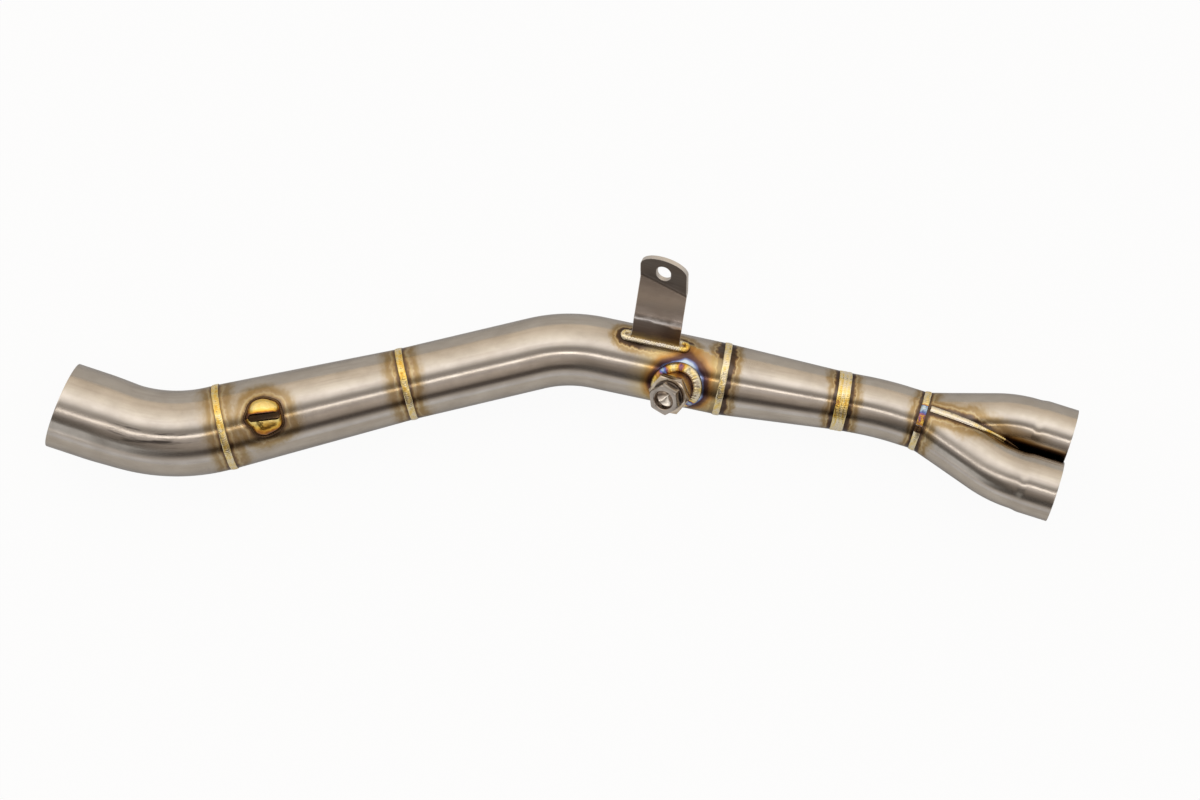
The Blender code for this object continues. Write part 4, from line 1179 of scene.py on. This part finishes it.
def valley_shade_and_haze(point):
    """Painted shade, 1 deep between the legs ahead of the crotch, on both faces of the pipe; on the upper leg a fainter
    brown haze beside it.
    """
    local = collector.inverted() @ point
    deep = 1 - smooth_step((abs(local.y) - 0.5 * MM) / (5.5 * MM))
    ahead = smooth_step((local.x - 53 * MM) / (9 * MM))
    if local.y < 0:
        return deep * ahead
    haze = 1 - smooth_step((local.y - 3 * MM) / (11 * MM))
    haze *= smooth_step((local.x - 46 * MM) / (12 * MM)) * (1 - smooth_step((local.x - 78 * MM) / (18 * MM)))
    return max(deep * ahead, 0.42 * haze)


def open_port(mesh):
    """Take the skin away over the boss's bore and draw the hole's rim onto it."""
    place = boss_frame()
    back = place.inverted()
    bore = PLUG_THREAD / 2 + GAP

    def above(point, reach):
        local = back @ point
        return local.z > -0.012 and hypot(local.x, local.y) < reach

    with editing(mesh) as mesh_data:
        gone = [face for face in mesh_data.faces if above(face.calc_center_median(), bore)]
        bmesh.ops.delete(mesh_data, geom=gone, context="FACES")
        for vert in mesh_data.verts:
            if vert.is_boundary and above(vert.co, 1.4 * bore):
                local = back @ vert.co
                reach = hypot(local.x, local.y)
                vert.co = place @ Vector((local.x * bore / reach, local.y * bore / reach, local.z))


def halved_leg(mesh, side):
    """Cut a leg's skin on the plane between the legs."""
    across = collector.to_3x3() @ Vector((0, side, 0))
    point = collector @ Vector((0, side * GAP / 2, 0))
    with editing(mesh) as mesh_data:
        bmesh.ops.bisect_plane(mesh_data, geom=everything(mesh_data), plane_co=point, plane_no=across,
                               clear_inner=True, dist=1e-6)


def add_tubes(welds):
    """The five tubes and cones and both legs."""

    def slip_radius(distance):
        share = smooth_step((distance - SLIP_LENGTH + 9 * MM) / (SLIP_TAPER + 18 * MM))
        return (SLIP_OD + (OUTLET_OD - SLIP_OD) * share) / 2

    def trim(distance):
        return OUTLET_TRIM * (1 - smooth_step(distance / SLIP_LENGTH))

    def cone(length, start_od, end_od):
        return lambda distance: (start_od + (end_od - start_od) * distance / length) / 2

    pieces = [
        ("outlet_bend", outlet, 0.0, slip_radius, trim),
        ("taper_cone", taper, END_BACK, cone(TAPER_LENGTH, OUTLET_OD, MAIN_OD), None),
        ("mid_bend", middle, END_BACK, constant(MAIN_OD / 2), None),
        ("reducer_cone", reducer, END_BACK, cone(REDUCER_LENGTH, MAIN_OD, NECK_OD), None),
        ("merge_neck", neck, END_BACK, constant(NECK_OD / 2), None)]
    for (name, route, start, radius, lean), from_start in zip(pieces, PIPE_STARTS):
        marks = tube_marks(route.at, start, route.length - END_BACK, radius, from_start, lean_at=lean)
        mesh = tube_skin_mesh(name + "_tube", marks, welds)
        if name == "mid_bend":
            open_port(mesh)
            paint_points(mesh, "boss_warmth", boss_warmth)
        if name == "taper_cone":
            # Painted shade on the taper under the hook's dome
            paint_points(mesh, "soot", under_hook)
        add_piece(name + "_tube", walled(mesh), name)

    socket = LEG_LENGTH + LEG_TAIL
    start = END_BACK / cos(LEG_SPREAD)
    end = socket + SOCKET_STEP + SOCKET_LENGTH - 0.01 * MM

    def leg_radius(distance):
        share = smooth_step((distance - socket + 2.2 * MM) / (SOCKET_STEP + 4.4 * MM))
        return LEG_RADIUS + (SOCKET_OD / 2 - LEG_RADIUS) * share

    # The lower leg's patterns start 0.3 m further on, so they differ from the upper one's.
    for name, side, pattern in (("upper_inlet_leg", 1, 0.0), ("lower_inlet_leg", -1, 0.3)):
        marks = tube_marks(lambda d: leg_place(side, d), start, end, leg_radius, PIPE_STARTS[-1] + pattern,
                           step=0.8 * MM, scorched=LEG_SCORCH)
        mesh = tube_skin_mesh(name + "_tube", marks, welds)
        halved_leg(mesh, side)
        # Painted shade deep between the legs, and a brown haze on the upper leg
        paint_points(mesh, "soot", valley_shade_and_haze)
        add_piece(name + "_tube", walled(mesh), name)


# Mount bracket


def bracket_outline():
    """Outline of the flat strip: flared foot, straight sides and a rounded head."""
    half = BRACKET_WIDTH / 2
    fold_lengths = FOLD_RADIUS * (abs(FOOT_FOLD) + abs(HEAD_FOLD))
    height = FOOT_LENGTH + WEB_LENGTH + HEAD_LENGTH + fold_lengths
    right = [(half + FOOT_FLARE * (1 - sin(turn)), FOOT_FLARE * (1 - cos(turn))) for turn in quarter_turns(12)]
    right += [(half * cos(turn), height - HEAD_ROUND * (1 - sin(turn))) for turn in quarter_turns(32)]
    left = [(-x, y) for x, y in reversed(right[:-1])]
    slant = tan(BRACKET_LEAN)
    return [Vector((x + y * slant, 0, y)) for x, y in right + left], height


def slot_outline(height):
    """Outline of the bolt slot, its round ends up and down the strip."""
    centre = Vector((0, 0, height - SLOT_FROM_END))
    centre.x = centre.z * tan(BRACKET_LEAN)
    radius = SLOT_WIDTH / 2
    lift = SLOT_LENGTH / 2 - radius
    return [centre + Vector((radius * cos(turn), 0, radius * sin(turn) + shift))
            for start, shift in ((0, lift), (180, -lift)) for turn in half_turns(start, 24)]


def fold_point(point, height, skew, angle):
    """A point of the sheet after a fold that starts at a height and runs at a skew."""
    line = Vector((cos(skew), 0, sin(skew)))
    beyond = Vector((-sin(skew), 0, cos(skew)))
    outward = Vector((0, copysign(1, angle), 0))
    start = Vector((0, 0, height))
    distance = (point - start).dot(beyond)
    if distance <= 0:
        return point
    arc_length = FOLD_RADIUS * abs(angle)
    turn = min(distance, arc_length) / FOLD_RADIUS
    rest = max(distance - arc_length, 0)
    ahead = cos(turn) * beyond + sin(turn) * outward
    across = cos(turn) * outward - sin(turn) * beyond
    curl = FOLD_RADIUS * (sin(turn) * beyond + (1 - cos(turn)) * outward)
    side = line * (point - start).dot(line)
    return start + side + curl + ahead * rest + across * (point - start).dot(outward)


def add_bracket():
    """The folded strip with its bolt slot."""
    outline, height = bracket_outline()
    mesh_data = bmesh.new()
    for loop in (outline, slot_outline(height)):
        verts = [mesh_data.verts.new(point) for point in loop]
        for one, other in zip(verts, verts[1:] + verts[:1]):
            mesh_data.edges.new((one, other))
    bmesh.ops.triangle_fill(mesh_data, use_beauty=True, edges=mesh_data.edges, normal=(0, -1, 0))
    bmesh.ops.inset_region(mesh_data, faces=mesh_data.faces, use_boundary=True, thickness=0.6 * MM)
    head_start = FOOT_LENGTH + FOLD_RADIUS * abs(FOOT_FOLD) + WEB_LENGTH
    folds = [(head_start, HEAD_FOLD_SKEW, HEAD_FOLD), (FOOT_LENGTH, 0.0, FOOT_FOLD)]
    cuts = [(i * height / 40, 0.0, 0.0) for i in range(1, 40)]
    for start, skew, angle in folds:
        cuts += [(start, skew, FOLD_RADIUS * abs(angle) * i / 14) for i in range(15)]
    for start, skew, shift in cuts:
        beyond = Vector((-sin(skew), 0, cos(skew)))
        point = Vector((0, 0, start)) + beyond * shift
        bmesh.ops.bisect_plane(mesh_data, geom=everything(mesh_data), plane_co=point, plane_no=beyond, dist=1e-7)
    flat = [vert.co.copy() for vert in mesh_data.verts]
    # The cut edges, where the sheet gets a painted highlight
    edge_highlight = [float(vert.is_boundary) for vert in mesh_data.verts]
    for vert in mesh_data.verts:
        for fold in folds:
            vert.co = fold_point(vert.co, *fold)
    mesh_data.transform(bracket_foot())
    mesh = mesh_from(mesh_data, "mount_bracket_sheet", sheet)
    keep_values(mesh, "strip", flat)
    keep_values(mesh, "edge", edge_highlight)
    mesh = with_modifiers(mesh, thickened(BRACKET_THICKNESS, 0.0), bevel(0.45 * MM, 3, 50))
    add_piece("mount_bracket_sheet", cleaned(mesh), "mount_bracket", sharp=35)


# Sensor boss, washer and plug


def hexagon_reach(across_flats, angle):
    """Distance to the side of a hexagon at an angle."""
    folded = angle % radians(60) - radians(30)
    return across_flats / 2 / cos(folded)


def hex_loops(across_flats, bottom, top, face, lead=radians(30)):
    """Loops of a hexagonal prism whose corners are turned down outside its face circle."""
    low, edge, high = [], [], []
    for i in range(HEX_SIDES):
        turn = 2 * pi * i / HEX_SIDES
        reach = hexagon_reach(across_flats, turn)
        outward = Vector((cos(turn), sin(turn), 0))
        flat = min(reach - 0.01 * MM, face)
        low.append(outward * reach + UP * bottom)
        edge.append(outward * reach + UP * (top - (reach - flat) * tan(lead)))
        high.append(outward * flat + UP * top)
    return [low, edge, high]


def add_turned(name, loops, place, finish, stands_for, closed=False, edge=0.2 * MM):
    """A turned piece from its loops, its edges broken; points keep their place beside the turning axis."""
    mesh_data = loft(loops, closed)
    mesh_data.transform(place)
    mesh = with_modifiers(mesh_from(mesh_data, name, finish), bevel(edge, 2, 24))
    back = place.inverted()
    spots = [back @ vert.co for vert in mesh.vertices]
    keep_values(mesh, "lathe", [(hypot(spot.x, spot.y), 0.0, spot.z) for spot in spots])
    add_piece(name, mesh, stands_for, sharp=40)


def add_boss_and_plug():
    """The boss on its saddle, the washer and the drilled hexagonal plug."""
    place = boss_frame()
    bore = PLUG_THREAD / 2 + GAP
    sides = HEX_SIDES

    def saddle(radius):
        loop = []
        turned_by = Matrix.Rotation(BOSS_TURN, 4, "Z")
        for point in circle(radius, sides):
            spun = turned_by @ point
            height = drop_to_tube(boss_place(), spun.x, spun.y, constant(MAIN_OD / 2 - 0.6 * MM))
            loop.append(Vector((point.x, point.y, height)))
        return loop

    shoulder = BOSS_HEIGHT - BOSS_HEX_HEIGHT
    wall = BOSS_WALL_OD / 2
    loops = [saddle(wall), circle(wall, sides, shoulder - 0.3 * MM), circle(wall + 0.3 * MM, sides, shoulder)]
    loops += hex_loops(BOSS_AF, shoulder, BOSS_HEIGHT, BOSS_AF / 2)
    loops += [circle(bore + 0.7 * MM, sides, BOSS_HEIGHT), circle(bore, sides, BOSS_HEIGHT - 0.7 * MM), saddle(bore)]
    add_turned("sensor_boss_body", loops, turned(place, BOSS_TURN, "Z"), boss_steel, "sensor_boss",
               closed=True)

    low = BOSS_HEIGHT + GAP
    high = low + WASHER_THICKNESS
    edge = WASHER_THICKNESS / 4
    profile = [(WASHER_OD / 2 - edge, low), (WASHER_OD / 2, low + edge), (WASHER_OD / 2, high - edge),
               (WASHER_OD / 2 - edge, high), (bore, high), (bore, low)]
    add_turned("plug_washer_ring", [circle(r, 96, z) for r, z in profile], place, washer_steel,
               "plug_washer", closed=True, edge=0.08 * MM)

    seat = high + GAP
    top = seat + PLUG_HEAD
    shank = PLUG_THREAD / 2
    cup = PLUG_CUP / 2
    floor = top - PLUG_CUP_DEPTH
    end = seat - PLUG_SHANK
    loops = [circle(shank - 0.9 * MM, sides, end), circle(shank, sides, end + 0.9 * MM), circle(shank, sides, seat)]
    loops += hex_loops(PLUG_AF, seat, top, PLUG_AF / 2 + 0.55 * MM)
    loops += [circle(cup + 0.5 * MM, sides, top), circle(cup, sides, top - 0.5 * MM), circle(cup, sides, floor)]
    depth = cup / tan(DRILL_POINT / 2)
    loops += [circle(cup * share, sides, floor - depth * (1 - share)) for share in (0.7, 0.4, 0.15, 0.03)]
    add_turned("sensor_plug_body", loops, turned(place, PLUG_TURN, "Z"), plug_steel, "sensor_plug",
               edge=0.22 * MM)


# Spring hook


def dome_level(grow, share, z):
    """One loop of the hook's dome, larger by grow."""
    length = HOOK_LENGTH / 2 + grow
    breadth = HOOK_BREADTH / 2 + grow
    return [Vector((p.x * length, p.y * breadth, z)) for p in hook_outline(share, 112)]


def dome_skirt(grow, sunk):
    """The loop where the dome's skirt meets the taper, sunk a little into its wall."""
    loop = []
    for point in dome_level(grow, 1.0, 0.0):
        point.z = drop_to_tube(hook_place(), point.x, point.y, taper_radius) - sunk
        loop.append(point)
    return loop


def dome(grow, sunk):
    """Loops of one side of the dome, from its skirt to its crown."""
    loops = [dome_skirt(grow, sunk), dome_level(grow, 1.0, -0.2 * MM)]
    height = HOOK_HEIGHT + grow
    for rise in quarter_turns(24)[1:-1]:
        loops.append(dome_level(grow, cos(rise), height * sin(rise)))
    return loops


def slot_cutter():
    """The slot's filled form."""
    radius = HOOK_SLOT / 2
    half = HOOK_LENGTH / 2 - HOOK_SLOT_END - radius
    outline = [(shift + radius * cos(turn), radius * sin(turn))
               for start, shift in ((-90, half), (90, -half)) for turn in half_turns(start, 16)]
    return loft([[Vector((x, y, z)) for x, y in outline] for z in (-HOOK_HEIGHT, 2 * HOOK_HEIGHT)])


def is_crown_bridge(face):
    """Whether a face joins the outer dome's crown to the inner one's."""
    heights = [vert.co.z for vert in face.verts]
    return min(heights) > (HOOK_HEIGHT - HOOK_WALL) * 0.985 and max(heights) - min(heights) > HOOK_WALL * 0.6


def hook_gold_and_shade(point):
    """How gold the hook is at a point: most on its skin high up, less low down; the dark inside the dome and in its
    slot, and one side darkening next to the slot, are painted shade, and the other side's light lip by the slot is a
    painted highlight.
    """
    x, y, z = point
    reach = (x / (HOOK_LENGTH / 2)) ** 2 + (y / (HOOK_BREADTH / 2)) ** 2 + (max(z, 0.0) / HOOK_HEIGHT) ** 2
    skin = limited((reach - 0.62) / 0.3)
    low = limited((z + 0.5 * MM) / (5.5 * MM))
    if y > 0:
        tone = 0.15 + 0.85 * limited((abs(y) - HOOK_SLOT / 2) / (3.4 * MM))
    else:
        tone = 0.95 - 0.55 * limited((-y - HOOK_SLOT / 2) / (7 * MM))
    return skin * tone * (0.15 + 0.85 * low)


def add_hook():
    """The pressed hook: a thin dome with a rounded slot that leaves a lip on either side."""
    outside = dome(0.0, 0.5 * MM)
    inside = dome(-HOOK_WALL, 0.5 * MM)
    mesh_data = loft(outside + list(reversed(inside)), closed=True)
    bmesh.ops.delete(mesh_data, geom=[face for face in mesh_data.faces if is_crown_bridge(face)], context="FACES_ONLY")
    fill_holes(mesh_data)
    mesh = mesh_from(mesh_data, "spring_hook_dome", gold)
    cutter = link_object("slot", mesh_from(slot_cutter(), "slot", gold))
    slot = {"operation": "DIFFERENCE", "solver": "EXACT", "object": cutter}
    mesh = cleaned(with_modifiers(mesh, ("BOOLEAN", slot), bevel(0.7 * MM, 4, 50)))
    bpy.data.objects.remove(cutter, do_unlink=True)
    # Painted shade in the slot and under the dome, and a painted highlight by the slot, go into how gold the hook is
    paint_points(mesh, "rise", hook_gold_and_shade)
    mesh.transform(outlet.end @ hook_place())
    add_piece("spring_hook_dome", mesh, "spring_hook", sharp=60)


# Floor, light and camera


def show_white(lit, share, in_metal):
    """Mix a lit shader with plain white for camera and transmission rays, and less so for glossy ones."""
    camera, transmission, glossy = [field(lit.tree, "ShaderNodeLightPath", output=f"Is {ray} Ray")
                                    for ray in ("Camera", "Transmission", "Glossy")]
    seen = camera.math("MAXIMUM", transmission).math("MAXIMUM", glossy * in_metal)
    white = field(lit.tree, "ShaderNodeEmission", {"Color": (1, 1, 1, 1), "Strength": 1.0})
    return field(lit.tree, "ShaderNodeMixShader", {0: seen * share, 1: lit, 2: white})


def add_floor():
    """The pale floor, white to the camera, with the pipe's own soft shadow."""
    made = bpy.data.materials.new("pale floor")
    made.use_nodes = True
    tree = made.node_tree
    tree.nodes.remove(tree.nodes["Principled BSDF"])
    lit = field(tree, "ShaderNodeBsdfDiffuse", {"Color": (0.68, 0.66, 0.62, 1)})
    feed(tree.nodes["Material Output"], {"Surface": show_white(lit, 0.945, 0.30)})
    mesh_data = bmesh.new()
    half = 8.0
    corners = [(-half, -half, 0), (half, -half, 0), (half, half, 0), (-half, half, 0)]
    mesh_data.faces.new([mesh_data.verts.new(corner) for corner in corners])
    floor = link_object("floor", mesh_from(mesh_data, "floor", made))
    if floor.data.polygons[0].normal.z < 0:
        floor.data.flip_normals()


def add_world():
    """The studio tent: panels round the pipe, dim beyond its outlet on one side, and plain white at both ends."""
    world = bpy.data.worlds.new("studio")
    bpy.context.scene.world = world
    world.use_nodes = True
    tree = world.node_tree
    tree.nodes.clear()
    way = field(tree, "ShaderNodeTexCoord", output="Generated")
    angle = ranged(way.part("Y").math("ARCTAN2", way.part("Z")), -pi, pi)
    panels, _ = ramp(angle, *[((turn + 180) / 360, colour) for turn, colour in STUDIO])
    dim = ranged(angle, 0.440, 0.458, 1.0, 0.0) * ranged(angle, 0.310, 0.330)
    dim *= ranged(way.part("X"), -0.16, -0.05, 0.9, 0.0)
    panels = mixed(dim, panels, (0.07, 0.06, 0.05))
    shade = mixed(ranged(way.part("X").math("ABSOLUTE"), 0.70, 0.95), panels, (0.88, 0.88, 0.88))
    shade = mixed(field(tree, "ShaderNodeLightPath", output="Is Camera Ray"), shade, (1.0, 1.0, 1.0))
    lit = field(tree, "ShaderNodeBackground", {"Color": shade, "Strength": 1.0})
    node(tree, "ShaderNodeOutputWorld", {"Surface": lit}).is_active_output = True


def add_lamp(name, width, height, radiance, colour=(1.0, 1.0, 1.0)):
    """A soft rectangular lamp that shines evenly at a radiance."""
    lamp = bpy.data.lights.new(name, "AREA")
    lamp.shape = "RECTANGLE"
    lamp.size = width
    lamp.size_y = height
    lamp.energy = radiance * pi * width * height
    lamp.color = colour
    return link_object(name, lamp)


def add_studio():
    """Floor, tent, lamps and the camera over the pipe."""
    add_floor()
    add_world()

    # A long strip over the pipe, and a small pale lamp low on the camera's left for faces turned that way
    strip = add_lamp("strip lamp", 2.2, 0.17, 2.7, (1.0, 0.94, 0.88))
    turn = radians(-9)
    distance = 1.9
    strip.location = (0, distance * sin(turn), 0.05 + distance * cos(turn))
    strip.rotation_euler = (-turn, 0, 0)
    side = add_lamp("side lamp", 0.8, 0.8, 0.8)
    side.location = (-1.16, -1.13, 0.85)
    side.rotation_euler = side.location.to_track_quat("Z", "Y").to_euler()

    view = bpy.data.cameras.new("photo view")
    view.lens = 102.0
    view.sensor_width = 36.0
    camera = link_object("photo view", view)
    camera.matrix_world = LYING @ Matrix.Translation(CAMERA_FROM_OUTLET)
    bpy.context.scene.camera = camera
    bpy.context.scene.view_settings.view_transform = "Standard"


welds = add_welds()
add_tubes(welds)
bpy.data.objects.remove(welds, do_unlink=True)
add_bracket()
add_boss_and_plug()
add_hook()
add_studio()
